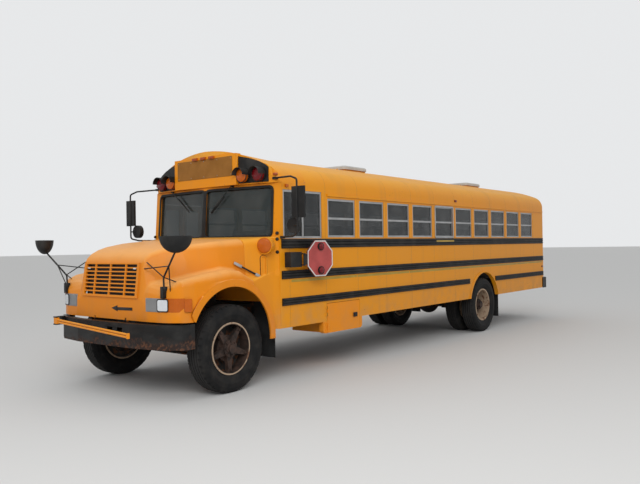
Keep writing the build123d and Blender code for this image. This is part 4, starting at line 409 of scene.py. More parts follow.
dress(amber, "amber_lamps", "corner_lamps")
dress(red, "red_lamps")
dress(inside_grey, "seat_frames", "dashboard")
dress(plain("floor_black", (0.03, 0.03, 0.03), 0.7, 60, 0.001), "floor", "wheel_houses", "entrance_steps")
dress(plain("hatch_white", (0.45, 0.45, 0.43), 0.5), "hatch_front", "hatch_rear")


# The tyres. Each is a ribbed road tyre: a spun section with a beaded sidewall, a
# rounded shoulder cut into blocks, and four grooves round the tread.
ADD = {"plane": bpy.ops.mesh.primitive_plane_add, "cube": bpy.ops.mesh.primitive_cube_add,
       "circle": bpy.ops.mesh.primitive_circle_add}
MIRROR = Matrix.Scale(-1, 4, (0, 1, 0))


def select_only(*pieces):
    """Selects these pieces alone and makes the first of them active."""
    bpy.ops.object.select_all(action="DESELECT")
    for piece in pieces:
        piece.select_set(True)
    bpy.context.view_layer.objects.active = pieces[0]


def primitive(kind, scale=(1, 1, 1), **settings):
    """Adds a primitive that is selected alone, with its place in its mesh."""
    bpy.ops.object.select_all(action="DESELECT")
    ADD[kind](**settings)
    piece = bpy.context.object
    piece.scale = scale
    bpy.ops.object.transform_apply()
    return piece


def edit(kind="FACE"):
    """Opens the piece for editing with all of it selected."""
    bpy.ops.object.mode_set(mode="EDIT")
    bpy.ops.mesh.select_mode(type=kind)
    bpy.ops.mesh.select_all(action="SELECT")


def pick(piece, test):
    """Opens the piece for editing with only the faces selected that pass the test."""
    bpy.ops.object.mode_set(mode="EDIT")
    bpy.ops.mesh.select_mode(type="FACE")
    bpy.ops.mesh.select_all(action="DESELECT")
    bpy.ops.object.mode_set(mode="OBJECT")
    for face in piece.data.polygons:
        face.select = bool(test(face.center, face.normal))
    bpy.ops.object.mode_set(mode="EDIT")


def spun(centre, axis, profile, steps=48):
    """Draws a profile of radius and distance along the axis, and spins it about the axis."""
    axis = Vector(axis).normalized()
    out = axis.orthogonal().normalized()
    points = [Vector(centre) + out * radius + axis * along for radius, along in profile]
    piece = primitive("plane", size=0.0004, location=points[0])
    edit("VERT")
    bpy.ops.mesh.merge(type="CENTER")
    for first, second in zip(points, points[1:]):
        bpy.ops.mesh.extrude_region_move(TRANSFORM_OT_translate={"value": second - first})
    bpy.ops.mesh.select_all(action="SELECT")
    bpy.ops.mesh.spin(steps=steps, angle=2 * pi, center=centre, axis=axis)
    bpy.ops.mesh.select_all(action="SELECT")
    bpy.ops.mesh.remove_doubles(threshold=0.00005)
    bpy.ops.mesh.normals_make_consistent(inside=False)
    bpy.ops.object.mode_set(mode="OBJECT")
    return piece


def duplicate(piece, matrix):
    """Copy with a mesh of its own, moved, turned or mirrored."""
    twin = piece.copy()
    twin.data = piece.data.copy()
    twin.data.transform(matrix)
    if matrix.determinant() < 0:
        twin.data.flip_normals()
    bpy.context.scene.collection.objects.link(twin)
    return twin


def joined(pieces):
    """Joins finished meshes into the first of them."""
    select_only(*pieces)
    bpy.ops.object.join()
    return pieces[0]


def copied(piece, matrices):
    """Joins to a piece its copies."""
    return joined([piece, *[duplicate(piece, matrix) for matrix in matrices]])


def finished(piece, name, finish, body, angle=30):
    """Names a piece, gives it its finish, shades it and lets it ride on its body."""
    select_only(piece)
    piece.name = name
    piece.data.name = name
    piece.data.materials.clear()
    piece.data.materials.append(finish.material)
    bpy.ops.object.shade_smooth_by_angle(angle=radians(angle))
    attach(piece, body)
    return piece


def twin_of(piece, name, body):
    """The same piece on the other side of the bus, on another body."""
    twin = duplicate(piece, MIRROR)
    twin.name = name
    twin.data.name = name
    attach(twin, body)
    return twin


TYRE_R = 0.500
TYRE_STEPS = 120
HALF_SECTION = (
    (0.300, 0.083), (0.318, 0.0925), (0.330, 0.101), (0.334, 0.1045), (0.340, 0.1055), (0.346, 0.1075),
    (0.372, 0.119), (0.388, 0.1258), (0.392, 0.1268), (0.396, 0.1258), (0.418, 0.1245), (0.436, 0.1225),
    (0.440, 0.1232), (0.444, 0.1215), (0.466, 0.1135), (0.478, 0.108), (0.490, 0.101), (0.4965, 0.094),
    (0.4985, 0.084), (0.4995, 0.066), (0.489, 0.063), (0.489, 0.057), (0.4998, 0.054), (0.500, 0.026),
    (0.489, 0.023), (0.489, 0.017), (0.500, 0.014),
)
OTHER_HALF = tuple((radius, -side) for radius, side in reversed(HALF_SECTION))
BEAD = ((0.286, -0.082), (0.286, 0.082), (0.300, 0.083))
FRONT_TYRE = at(0, 1.018, TYRE_R)
REAR_TYRE = at(-6.452, 1.068, TYRE_R)
DUAL_SPACING = 0.330
SHOULDER_INNER, SHOULDER_OUTER, SHOULDER_R = 0.088, 0.108, 0.480
BLOCK_EVERY = 3


def tyre_finish(name, centre):
    """Black rubber gone grey: brown dust in the sidewall, a wiped tread."""
    finish = Finish(name)
    dust = finish.between(finish.noise(9, 4, shift=3), 0.35, 0.8)
    shade = finish.blend(dust, (0.009, 0.009, 0.0095), (0.028, 0.026, 0.024))
    worn = finish.between(finish.distance(centre), TYRE_R - 0.006, TYRE_R - 0.002)
    finish.shade(Base_Color=finish.blend(worn * 0.5, shade, (0.04, 0.038, 0.037)),
                 Roughness=0.62 + dust * 0.25, Specular_IOR_Level=0.15)
    finish.bump(finish.noise(260, 2) * 0.35, 0.001, 0.6)
    return finish


def between_blocks(middle, normal):
    """Whether a face is one of the gaps round the tyre's shoulders."""
    off = abs(middle.y - FRONT_TYRE.y)
    across, high = middle.x - FRONT_TYRE.x, middle.z - TYRE_R
    turn = round(atan2(high, across) / (2 * pi / TYRE_STEPS))
    on_shoulder = SHOULDER_INNER < off < SHOULDER_OUTER and hypot(across, high) > SHOULDER_R
    return on_shoulder and turn % BLOCK_EVERY == 0


front_tyre = spun(FRONT_TYRE, (0, 1, 0), HALF_SECTION + OTHER_HALF + BEAD, TYRE_STEPS)
pick(front_tyre, between_blocks)
bpy.ops.mesh.inset(thickness=0.002, depth=-0.007)
bpy.ops.object.mode_set(mode="OBJECT")
rear_tyres = duplicate(front_tyre, Matrix.Translation(REAR_TYRE - FRONT_TYRE))
copied(rear_tyres, [Matrix.Translation((0, -DUAL_SPACING, 0))])
rubber_front = tyre_finish("tyre_rubber", FRONT_TYRE)
rubber_rear = tyre_finish("tyre_rubber_rear", REAR_TYRE)
for kind, end, tyre, rubber in (("tyre", "front", front_tyre, rubber_front),
                                ("tyres", "rear", rear_tyres, rubber_rear)):
    finished(tyre, f"road_{kind}_{end}_left", rubber, f"{end}_left", 40)
    twin = twin_of(tyre, f"road_{kind}_{end}_right", f"{end}_right")
    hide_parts(f"{kind}_{end}_left")
    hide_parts(f"{kind}_{end}_right")


# The wheels. A cast spoke hub gone rusty brown clamps a cream painted rim ring, with
# a wedge and nut at the end of each spoke and a ring of bolts round the hub cap.
SPOKES = 5
SPOKE_END_R = 0.245
CAP_BOLTS = 8
CAP_BOLT_R = 0.082
CAP_DOME = ((0.066, -0.002), (0.066, 0.004), (0.060, 0.012), (0.052, 0.0145), (0.050, 0.024),
            (0.044, 0.032), (0.026, 0.0365), (0, 0.037), (0, -0.002), (0.066, -0.002))
DRUM_RING = ((0.150, -0.058), (0.262, -0.058), (0.270, -0.050), (0.270, -0.064), (0.262, -0.070),
             (0.206, -0.070), (0.206, -0.100), (0.150, -0.100), (0.150, -0.058))


def wheel_paint(name, centre, edge):
    """Cast iron out to the edge's radius and the painted ring beyond it."""
    finish = Finish(name)
    cloud = finish.noise(14, 4, shift=2)
    cast = finish.blend(finish.between(cloud, 0.3, 0.7), (0.018, 0.013, 0.011), (0.060, 0.034, 0.025))
    ring = finish.blend(finish.between(cloud, 0.5, 0.68), (0.40, 0.29, 0.20), (0.16, 0.075, 0.04))
    outer = finish.between(finish.distance(centre) + cloud * 0.010, edge, edge + 0.006)
    finish.shade(Base_Color=finish.blend(outer, cast, ring), Roughness=0.6 + cloud * 0.25,
                 Specular_IOR_Level=0.3)
    finish.bump(finish.noise(110, 3), 0.0012, 0.6)
    return finish


def turned_about(centre, count):
    """Turns about a wheel's axle that share out a part evenly, the first left out."""
    there, back = Matrix.Translation(centre), Matrix.Translation(-Vector(centre))
    return [there @ Matrix.Rotation(2 * pi * index / count, 4, "Y") @ back for index in range(1, count)]


def nut(place, axis, width, height):
    """Six-sided nut on a washer, with a stud through it."""
    profile = ((0, height * 1.35), (width * 0.27, height * 1.35), (width * 0.3, height * 1.2),
               (width * 0.3, height), (width * 0.46, height), (width * 0.5, height * 0.8),
               (width * 0.5, 0), (width * 0.72, 0), (width * 0.72, -0.002), (0, -0.002))
    return spun(place, axis, profile, 6)


def round_edges(offset, segments=2):
    """Bevels every edge of the active piece."""
    edit()
    bpy.ops.mesh.bevel(offset=offset, segments=segments, affect="EDGES")
    bpy.ops.object.mode_set(mode="OBJECT")


def hub_parts(centre, face, cap):
    """Wedge nuts at the spokes' ends, cap bolts and a domed cap, all on the hub's outer face."""
    wedge = nut(centre + Vector((0, face, -SPOKE_END_R)), (0, 1, 0), 0.034, 0.018)
    clamp = primitive("cube", size=1, location=centre + Vector((0, face - 0.004, -SPOKE_END_R)),
                      scale=(0.052, 0.014, 0.04))
    round_edges(0.004)
    wedges = copied(joined([wedge, clamp]), turned_about(centre, SPOKES))
    bolt = nut(centre + Vector((0, cap, -CAP_BOLT_R)), (0, 1, 0), 0.017, 0.009)
    bolts = copied(bolt, turned_about(centre, CAP_BOLTS))
    dome = spun(centre + Vector((0, cap, 0)), (0, 1, 0), CAP_DOME, 32)
    return joined([wedges, bolts, dome])


front_cast = wheel_paint("wheel_cream", FRONT_TYRE, 0.283)
rear_cast = wheel_paint("wheel_cream_rear", REAR_TYRE, 0.235)
dress(front_cast, "wheel_front_left", "wheel_front_right")
dress(rear_cast, "wheels_rear_left", "wheels_rear_right")
drum_ring = spun(FRONT_TYRE, (0, 1, 0), DRUM_RING, 64)
finished(drum_ring, "brake_drum_left", frame_black, "front_left")
twin_of(drum_ring, "brake_drum_right", "front_right")
for end, hub, finish in (("front", hub_parts(FRONT_TYRE, 0.060, 0.080), front_cast),
                         ("rear", hub_parts(REAR_TYRE, -0.096, 0.020), rear_cast)):
    finished(hub, f"{end}_hub_left", finish, f"{end}_left")
    twin_of(hub, f"{end}_hub_right", f"{end}_right")


# The hood, cowl, front cap and crossview mirror heads. They are pressed or moulded in
# one piece each, so the CAD panel is shaded smooth as the sheet that it is.
def smooth_shell(node, name, finish, body):
    """Merged copy of a pressed CAD panel, with its flat parts shaded flat."""
    shell = duplicate(NODES[node], Matrix.Identity(4))
    select_only(shell)
    edit("VERT")
    bpy.ops.mesh.remove_doubles(threshold=0.00002)
    bpy.ops.object.mode_set(mode="OBJECT")
    finished(shell, name, finish, body, 38)
    corners = shell.modifiers.new("corners", "WEIGHTED_NORMAL")
    corners.keep_sharp = True
    bpy.ops.object.modifier_apply(modifier="corners")
    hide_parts(node)


smooth_shell("hood", "hood_skin", deep_yellow, "hood")
smooth_shell("cowl", "cowl_skin", smooth_yellow, "body")
smooth_shell("front_cap", "front_cap_skin", smooth_yellow, "body")
smooth_shell("cross_mirrors", "cross_mirror_heads", black, "hood")


# The grille. A dark woven screen lies behind its slots, two white clips hold it at the
# top, and a black arrow is painted on the hood's nose under it.
GRILLE_LEAN = Vector((-0.047, 0, 0.395)).normalized()
WEAVE_PITCH = 0.008
ARROW_X = 0.8435
ARROW_HEAD = Matrix(((0, 0, 1), (0, -0.077, 0), (0.040, 0, 0))).to_4x4()
PAINT_SHEET = 0.003


def thicken(piece, thickness, offset=0):
    """Gives a flat sheet its thickness, both ways or, with an offset of 1, outwards."""
    wall = piece.modifiers.new("wall", "SOLIDIFY")
    wall.thickness = thickness
    wall.offset = offset
    bpy.ops.object.modifier_apply(modifier="wall")


def plate(centre, right, up, width, height, corner, thick, band=0):
    """Flat plate with round corners, or a ring of it where a band's width is given."""
    right, up = Vector(right).normalized(), Vector(up).normalized()
    turn = Matrix((right, up, right.cross(up))).transposed()
    piece = primitive("plane", size=1, location=centre, rotation=turn.to_euler(), scale=(width, height, 1))
    edit("VERT")
    bpy.ops.mesh.bevel(offset=corner, segments=5, affect="VERTICES")
    bpy.ops.mesh.select_all(action="SELECT")
    bpy.ops.mesh.select_mode(type="FACE")
    bpy.ops.mesh.select_all(action="SELECT")
    bpy.ops.mesh.inset(thickness=band or min(corner * 0.7, min(width, height) * 0.08))
    if band:
        bpy.ops.mesh.delete(type="FACE")
    bpy.ops.object.mode_set(mode="OBJECT")
    thicken(piece, thick, 1)
    edge = piece.modifiers.new("edge", "BEVEL")
    edge.width = min(thick, band or thick) * 0.25
    edge.segments = 2
    bpy.ops.object.modifier_apply(modifier="edge")
    return piece


def block(centre, right, up, size, round_edge):
    """Block with round edges. Its size runs along right, the depth and up."""
    right, up = Vector(right).normalized(), Vector(up).normalized()
    turn = Matrix((right, up.cross(right), up)).transposed()
    piece = primitive("cube", size=1, location=centre, rotation=turn.to_euler(), scale=size)
    round_edges(round_edge)
    return piece


screen_finish = Finish("grille_screen")
weave = (screen_finish.repeats(screen_finish.y, WEAVE_PITCH)
         + screen_finish.repeats(screen_finish.z, WEAVE_PITCH))
screen_finish.shade(Base_Color=(0.012, 0.012, 0.012), Roughness=0.7)
screen_finish.bump(weave * 120, 0.002, 0.8)
screen = plate(at(0.7855, 0, 1.305), (0, 1, 0), GRILLE_LEAN,
               width=1.00, height=0.352, corner=0.01, thick=0.004)
finished(screen, "grille_screen", screen_finish, "hood")
clip = block(at(0.8240, 0.456, 1.433), (0, 1, 0), GRILLE_LEAN, (0.045, 0.014, 0.014), 0.003)
copied(clip, [Matrix.Translation((0, -0.882, 0))])
finished(clip, "grille_clips", white_paint, "hood")

shaft = block(at(ARROW_X, 0.285, 0.984), (0, 1, 0.02), (0, -0.02, 1), (0.29, PAINT_SHEET, 0.034), 0.0008)
head = primitive("circle", vertices=3, radius=1, fill_type="NGON")
head.data.transform(Matrix.Translation(at(ARROW_X, 0.115, 0.985)) @ ARROW_HEAD)
thicken(head, PAINT_SHEET)
finished(joined([shaft, head]), "hood_arrow", black, "hood")


# The hood latches. A rubber strap on each side hooks over the hood with a metal handle
# and is held down by a metal foot on the body, so it parts there as the hood tilts.
OUT = Vector((0.25, 1, 0.1)).normalized()
HOOK = at(-0.140, 1.040, 1.465)
FOOT = at(-0.455, 1.112, 1.308)
DOWN_STRAP = FOOT - HOOK


def strap_between(start, end, width, thickness):
    """Flat strap along the latch, from one share of the way down to another."""
    start, end = HOOK + DOWN_STRAP * start, HOOK + DOWN_STRAP * end
    along = end - start
    across = OUT.cross(DOWN_STRAP)
    return block((start + end) / 2, along, across, (along.length, thickness, width), thickness * 0.3)


strap = copied(strap_between(0, 1, 0.020, 0.010), [MIRROR])
handle = copied(strap_between(-0.04, 0.28, 0.034, 0.016), [MIRROR])
foot = copied(strap_between(0.86, 1.06, 0.036, 0.014), [MIRROR])
finished(strap, "hood_latch_straps", rubber_and_shade_black, "hood")
finished(handle, "hood_latch_handles", aluminium, "hood")
finished(foot, "hood_latch_feet", aluminium, "body")


# The lamp units at the fender tips. A black bezel holds a ribbed sealed beam beside a
# blank grey panel, and the amber lamp wraps round the corner outside them.
UNIT_Z = 1.045
UNIT_HEIGHT = 0.138
UPRIGHT = (0, 0, 1)
dress(plain("lamp_grey", (0.30, 0.30, 0.31), 0.35), "headlamps")
across = Vector((-0.037, 0.137, 0)).normalized()
beam_place = at(0.8175, 0.9245, UNIT_Z)
beam = plate(beam_place, across, UPRIGHT, width=0.128, height=0.118, corner=0.020, thick=0.008)
bezel = plate(beam_place, across, UPRIGHT, width=0.146, height=0.140, corner=0.022, thick=0.006, band=0.011)
blank = plate(at(0.8365, 0.763, UNIT_Z), (-0.022, 0.237, 0), UPRIGHT,
              width=0.176, height=UNIT_HEIGHT, corner=0.012, thick=0.003)
wrap = plate(at(0.668, 1.160, UNIT_Z), (-0.085, 0.040, 0), UPRIGHT,
             width=0.082, height=UNIT_HEIGHT, corner=0.012, thick=0.012)
beam_glass = ribbed_lens("beam_glass", (0.62, 0.64, 0.66), 0.009, 0.05)
for part, name, finish, slot in ((beam, "headlamp_beams", beam_glass, "clear_glass"),
                                 (bezel, "headlamp_bezels", black, "body_black"),
                                 (blank, "headlamp_blanks", inside_grey, "inside_grey"),
                                 (wrap, "corner_lamp_ends", amber, "amber_lens")):
    copied(part, [MIRROR])
    finished(part, name, finish, "hood")


# The cowl. A turn lamp stands on each corner in a yellow pressed housing, a raised rim
# with a thin black ring of painted shade round it marks the air outlet behind the hood,
# and the post has black studs.
TURN_LAMP = at(-0.515, 1.165, 1.665)
TURN_AXIS = (1, 0.35, 0)
HOUSING = ((0, -0.150), (0.060, -0.145), (0.086, -0.120), (0.100, -0.060), (0.101, 0.008),
           (0.101, 0.018), (0.093, 0.018), (0.091, 0.006), (0, 0.006), (0, -0.150))
TURN_LENS = ((0, 0.004), (0.092, 0.004), (0.092, 0.018), (0.080, 0.034), (0.044, 0.044), (0, 0.046),
             (0, 0.004))
STUD = ((0, -0.008), (0.021, -0.008), (0.021, 0.004), (0.017, 0.013), (0.009, 0.019), (0, 0.020),
        (0, -0.008))
SLOT_ENDS = ((-0.490, 1.418), (-0.568, 1.418), (-0.529, 1.50), (-0.529, 1.33))


def skin_point(node, start, direction):
    """Point where a line first meets a CAD node's surface."""
    mesh = NODES[node].data
    places = [vertex.co for vertex in mesh.vertices]
    skin = BVHTree.FromPolygons(places, [face.vertices for face in mesh.polygons])
    return skin.ray_cast(start, Vector(direction))[0]


housing = copied(spun(TURN_LAMP, TURN_AXIS, HOUSING, 40), [MIRROR])
finished(housing, "turn_lamp_housings", smooth_yellow, "body")
turn_lens = copied(spun(TURN_LAMP, TURN_AXIS, TURN_LENS, 40), [MIRROR])
finished(turn_lens, "turn_lamps", amber, "body")

slot_ends = [skin_point("cowl", at(x, 1.5, z), (0, -1, 0)) for x, z in SLOT_ENDS]
slot_front, slot_back, slot_top, slot_foot = slot_ends
slot_frame = (sum(slot_ends, Vector()) / len(slot_ends), slot_back - slot_front, slot_top - slot_foot)
# A thin black ring round each slot rim is painted shade, the dark outline along the rim's edge.
slot_shade_ring = plate(*slot_frame, width=0.094, height=0.274, corner=0.042, thick=0.004, band=0.008)
slot_rim = plate(*slot_frame, width=0.082, height=0.262, corner=0.036, thick=0.014, band=0.015)
finished(copied(slot_shade_ring, [MIRROR]), "cowl_slot_shade_rings", rubber_and_shade_black, "body")
finished(copied(slot_rim, [MIRROR]), "cowl_slot_rims", smooth_yellow, "body")

stud = spun(at(-0.722, 1.178, 1.816), (0.6, 0.8, 0), STUD, 20)
copied(stud, [Matrix.Translation((0, 0, drop)) for drop in (-0.073, -0.231)])
finished(copied(stud, [MIRROR]), "post_studs", black, "body")


# The windshield. Two flat panes in black rubber with round corners, a thin divider
# between them, and two wipers hung from above.
FRONT_X = -0.725
MIDDLE_X = -0.588
POST_Y = 1.118
WALL_LEAN = 0.07
WALL_FOOT = 1.762
PANE_LOW = 1.786
PANE_HIGH = 2.390
DIVIDER_Z = 2.088
WIPER_Z = 2.440
RISE = Vector((-WALL_LEAN, 0, 1)).normalized()
PANE_ACROSS = Vector((FRONT_X - MIDDLE_X, POST_Y, 0)).normalized()
PANE_OUT = PANE_ACROSS.cross(RISE).normalized()
WIPER_BOSS = ((0, -0.01), (0.024, -0.01), (0.024, 0.018), (0.014, 0.036), (0, 0.038), (0, -0.01))


def on_windshield(y, z, out=0.0):
    """Point on the left half of the leaning V-shaped front wall."""
    sweep = (FRONT_X - MIDDLE_X) * y / POST_Y
    return at(MIDDLE_X + sweep - WALL_LEAN * (z - WALL_FOOT), y, z) + PANE_OUT * out


def wiper(pivot_y, tip_y, tip_z):
    """Arm, blade and boss of a wiper on the left pane."""
    elbow = on_windshield(pivot_y, WIPER_Z, 0.030)
    tip = on_windshield(tip_y, tip_z, 0.020)
    reach = tip - elbow
    flat = PANE_OUT.cross(reach)
    arm = block((elbow + tip) / 2, flat, reach, (0.012, 0.008, reach.length), 0.003)
    blade_place = on_windshield((tip_y * 2 + pivot_y) / 3, tip_z + 0.10, 0.010)
    blade = block(blade_place, flat, reach, (0.010, 0.014, reach.length * 0.62), 0.003)
    boss = spun(on_windshield(pivot_y, WIPER_Z), PANE_OUT, WIPER_BOSS, 24)
    return joined([arm, blade, boss])


gasket = plate(on_windshield(0.552, (PANE_LOW + PANE_HIGH) / 2), PANE_ACROSS, RISE,
               width=1.112, height=0.652, corner=0.072, thick=0.012, band=0.032)
copied(gasket, [MIRROR])
divider_x = MIDDLE_X - WALL_LEAN * (DIVIDER_Z - WALL_FOOT) + 0.001
divider = block(at(divider_x, 0, DIVIDER_Z), (0, 1, 0), RISE, (0.022, 0.018, 0.62), 0.004)
finished(joined([gasket, divider]), "windshield_rubber", rubber_and_shade_black, "body")

left_wiper = wiper(0.46, 0.12, 2.10)
right_wiper = wiper(0.77, 0.33, 2.13)
right_wiper.data.transform(MIRROR)
right_wiper.data.flip_normals()
finished(joined([left_wiper, right_wiper]), "wipers", black, "body")


# The front cap. Its flat panel carries a blank amber sign board, screwed on along its
# top and bottom, with three marker lamps over it and one at each corner of the roof.
FORWARD = (1, 0, 0)
FACING_FRONT = ((0, 1, 0), UPRIGHT)
BOARD = at(-0.6145, 0, 2.683)
SCREW_PITCH = 0.2525
SCREW_RISE = 0.204
MARKER_PITCH = 0.16
board_ground = plain("sign_amber", (0.24, 0.098, 0.008), 0.4, Specular_IOR_Level=0.25)
board = plate(BOARD, *FACING_FRONT, width=1.06, height=0.255, corner=0.012, thick=0.003)
finished(board, "sign_board", board_ground, "body")
markers = block(at(-0.5880, 0, 2.8205), *FACING_FRONT, (0.094, 0.006, 0.030), 0.002)
copied(markers, [Matrix.Translation((0, side * MARKER_PITCH, 0)) for side in (-1, 1)])
corner_marker = block(at(-0.752, 1.138, 2.541), (-0.5, 1, 0), UPRIGHT, (0.060, 0.040, 0.030), 0.008)
copied(corner_marker, [MIRROR])
finished(joined([markers, corner_marker]), "marker_lenses", marker_amber, "body")
screw = nut(BOARD + Vector((0.003, -2 * SCREW_PITCH, -SCREW_RISE / 2)), FORWARD, 0.010, 0.003)
copied(screw, [Matrix.Translation((0, step * SCREW_PITCH, row * SCREW_RISE))
               for step in range(5) for row in range(2) if step or row])
finished(screw, "sign_screws", aluminium, "body")


# The warning lamps. Each has a ribbed lens that bulges from a black rim: an amber and
# a red one on each swept panel at the front, and a large and a small red one behind.
BACKWARD = (-1, 0, 0)
FRONT_LAMP_Z = 2.55
AMBER_Y = 0.69
RED_Y = 0.93
FRONT_LAMP_R = 0.087
PANEL_X = -0.665
PANEL_INNER_Y = 0.60
PANEL_SWEEP = 0.077 / 0.520
LAMP_DEPTH = 0.0673
REAR_LAMP_X = -9.6403
REAR_LAMP_Z = 1.56
REAR_LAMPS = ((0.76, 0.087, 0.089), (0.98, 0.049, 0.050))


def lamp_lens(place, axis, radius):
    """Lens that bulges from its rim."""
    profile = ((0, -0.002), (radius, -0.002), (radius, 0.002), (radius * 0.93, 0.009),
               (radius * 0.7, 0.016), (radius * 0.35, 0.0195), (0, 0.0205), (0, -0.002))
    return spun(place, axis, profile)


def lamp_rim(place, axis, radius):
    """Thin rubber ring round a lens."""
    profile = ((radius - 0.004, 0.0), (radius + 0.004, 0.0), (radius + 0.0035, 0.006),
               (radius - 0.003, 0.007), (radius - 0.004, 0.0))
    return spun(place, axis, profile)


def front_lamp(y):
    """Middle of a front lamp's face, which is further back towards the side."""
    return at(PANEL_X - (y - PANEL_INNER_Y) * PANEL_SWEEP + LAMP_DEPTH, y, FRONT_LAMP_Z)


amber_lens = copied(lamp_lens(front_lamp(AMBER_Y), FORWARD, FRONT_LAMP_R), [MIRROR])
red_lens = copied(lamp_lens(front_lamp(RED_Y), FORWARD, FRONT_LAMP_R), [MIRROR])
rims = [lamp_rim(front_lamp(y), FORWARD, FRONT_LAMP_R + 0.001) for y in (AMBER_Y, RED_Y)]
rear_lenses = []
for y, lens_r, rim_r in REAR_LAMPS:
    rear_lenses.append(lamp_lens(at(REAR_LAMP_X, y, REAR_LAMP_Z), BACKWARD, lens_r))
    rims.append(lamp_rim(at(REAR_LAMP_X, y, REAR_LAMP_Z), BACKWARD, rim_r))
rear_lens = copied(joined(rear_lenses), [MIRROR])
lamp_rims = copied(joined(rims), [MIRROR])
finished(amber_lens, "warning_lenses_amber", amber, "body")
finished(joined([red_lens, rear_lens]), "warning_lenses_red", red, "body")
finished(lamp_rims, "warning_lamp_rims", rubber_and_shade_black, "body")


# The stop arm. A faded red octagon with a white border on both faces of its sheet, two
# red lamps on each face, and a black rim round each lamp.
STOP_HINGE = at(-1.060, 1.320, 1.494)
SIGN_TURN = Matrix.Translation(STOP_HINGE) @ Matrix.Rotation(radians(-5.5), 4, "Z")
SIGN_X = -0.2785
STOP_LAMP_Z = 0.15
STOP_LAMP_FACE = 0.0258
sign_red = plain("sign_red", (0.34, 0.045, 0.04), 0.42, wear=1.35)


def octagon(across, face_y, thickness, inset, ring=False):
    """Octagon sheet on one face of the arm, or only the ring of it that the inset leaves."""
    sheet = primitive("circle", vertices=8, radius=across / 2 / cos(pi / 8), fill_type="NGON",
                      rotation=(pi / 2, 0, 0))
    sheet.data.transform(Matrix.Rotation(pi / 8, 4, "Y"))
    edit()
    bpy.ops.mesh.inset(thickness=inset)
    if ring:
        bpy.ops.mesh.delete(type="FACE")
    bpy.ops.object.mode_set(mode="OBJECT")
    thicken(sheet, thickness)
    sheet.data.transform(SIGN_TURN @ Matrix.Translation((SIGN_X, face_y, 0)))
    return sheet


sign_faces = joined([octagon(0.455, way * 0.0064, 0.0052, 0.012) for way in (1, -1)])
finished(sign_faces, "stop_sign_faces", sign_red, "stop_arm")
sign_border = joined([octagon(0.452, way * 0.0094, 0.0012, 0.015, ring=True) for way in (1, -1)])
finished(sign_border, "stop_sign_border", white_paint, "stop_arm")
side = SIGN_TURN.to_3x3() @ Vector((0, 1, 0))
stop_lamps = []
stop_rims = []
for z in (-STOP_LAMP_Z, STOP_LAMP_Z):
    for way in (-1, 1):
        place = SIGN_TURN @ Vector((SIGN_X, way * STOP_LAMP_FACE, z))
        stop_lamps.append(lamp_lens(place, side * way, 0.042))
        stop_rims.append(lamp_rim(place, side * way, 0.046))
finished(joined(stop_lamps), "stop_lamps", red, "stop_arm")
finished(joined(stop_rims), "stop_lamp_rims", rubber_and_shade_black, "stop_arm")


# The mirrors. Silvered glass fills the rear face of each head on the arms, the tall
# flat ones over the small round ones.
ROUND_GLASS = ((0, -0.002), (0.086, -0.002), (0.086, 0.002), (0.06, 0.008), (0.03, 0.0105), (0, 0.011),
               (0, -0.002))
FACING_REAR = ((0, -1, 0), UPRIGHT)
mirror_glass = Finish("mirror_glass")
mirror_film = mirror_glass.between(mirror_glass.noise(9, 3), 0.4, 0.8)
mirror_glass.shade(Base_Color=(0.62, 0.64, 0.66), Metallic=1.0, Roughness=0.04 + mirror_film * 0.12)
flat_back = skin_point("side_mirrors", at(-1.2, 1.61, 2.17), FORWARD)
round_back = skin_point("side_mirrors", at(-1.2, 1.505, 1.90), FORWARD)
flat_glass = plate(flat_back, *FACING_REAR, width=0.170, height=0.350, corner=0.014, thick=0.003)
round_glass = spun(round_back, BACKWARD, ROUND_GLASS, 40)
mirrors = copied(joined([flat_glass, round_glass]), [MIRROR])
finished(mirrors, "mirror_glasses", mirror_glass, "body")


# The sides. Dull reflective tape runs in lengths under the middle rail, and the fifth
# window each side pushes out in a heavier silver frame with a red marker lamp above.
FACING_LEFT = (BACKWARD, UPRIGHT)
SIDE_Y = 1.200
TAPE_FROM = -0.95
TAPE_L = 1.39
TAPE_STEP = TAPE_L + 0.02
TAPE_THICK = 0.0008
PUSH_OUT_X = -1.649 - 4.5 * SEAM_PITCH
tape_finish = plain("reflective_tape", (0.36, 0.225, 0.012), 0.35)


def tape_length(place, width, height):
    """One length of tape along the bus's left side."""
    return plate(place, *FACING_LEFT, width, height, corner=0.003, thick=TAPE_THICK)


left_only, tape = (tape_length(at(TAPE_FROM - TAPE_L / 2 - TAPE_STEP * step, SIDE_Y, 1.222), TAPE_L, 0.032)
                   for step in range(2))
copied(tape, [Matrix.Translation((-TAPE_STEP * step, 0, 0)) for step in range(1, 5)])
copied(tape, [MIRROR])
exit_strip = tape_length(at(PUSH_OUT_X, SIDE_Y + 0.0192, 1.700), 0.62, 0.028)
copied(exit_strip, [MIRROR])
finished(joined([tape, left_only, exit_strip]), "side_tape", tape_finish, "body")

push_out = plate(at(PUSH_OUT_X, SIDE_Y, 2.0205), *FACING_LEFT,
                 width=0.664, height=0.545, corner=0.04, thick=0.007, band=0.030)
finished(copied(push_out, [MIRROR]), "push_out_frames", aluminium, "body")
exit_marker = block(at(-5.330, SIDE_Y + 0.005, 2.395), *FACING_LEFT, (0.070, 0.022, 0.034), 0.006)
rear_marker = block(at(-9.400, SIDE_Y + 0.005, 1.120), *FACING_LEFT, (0.060, 0.016, 0.036), 0.005)
side_markers = copied(joined([exit_marker, rear_marker]), [MIRROR])
finished(side_markers, "side_markers", red, "body")


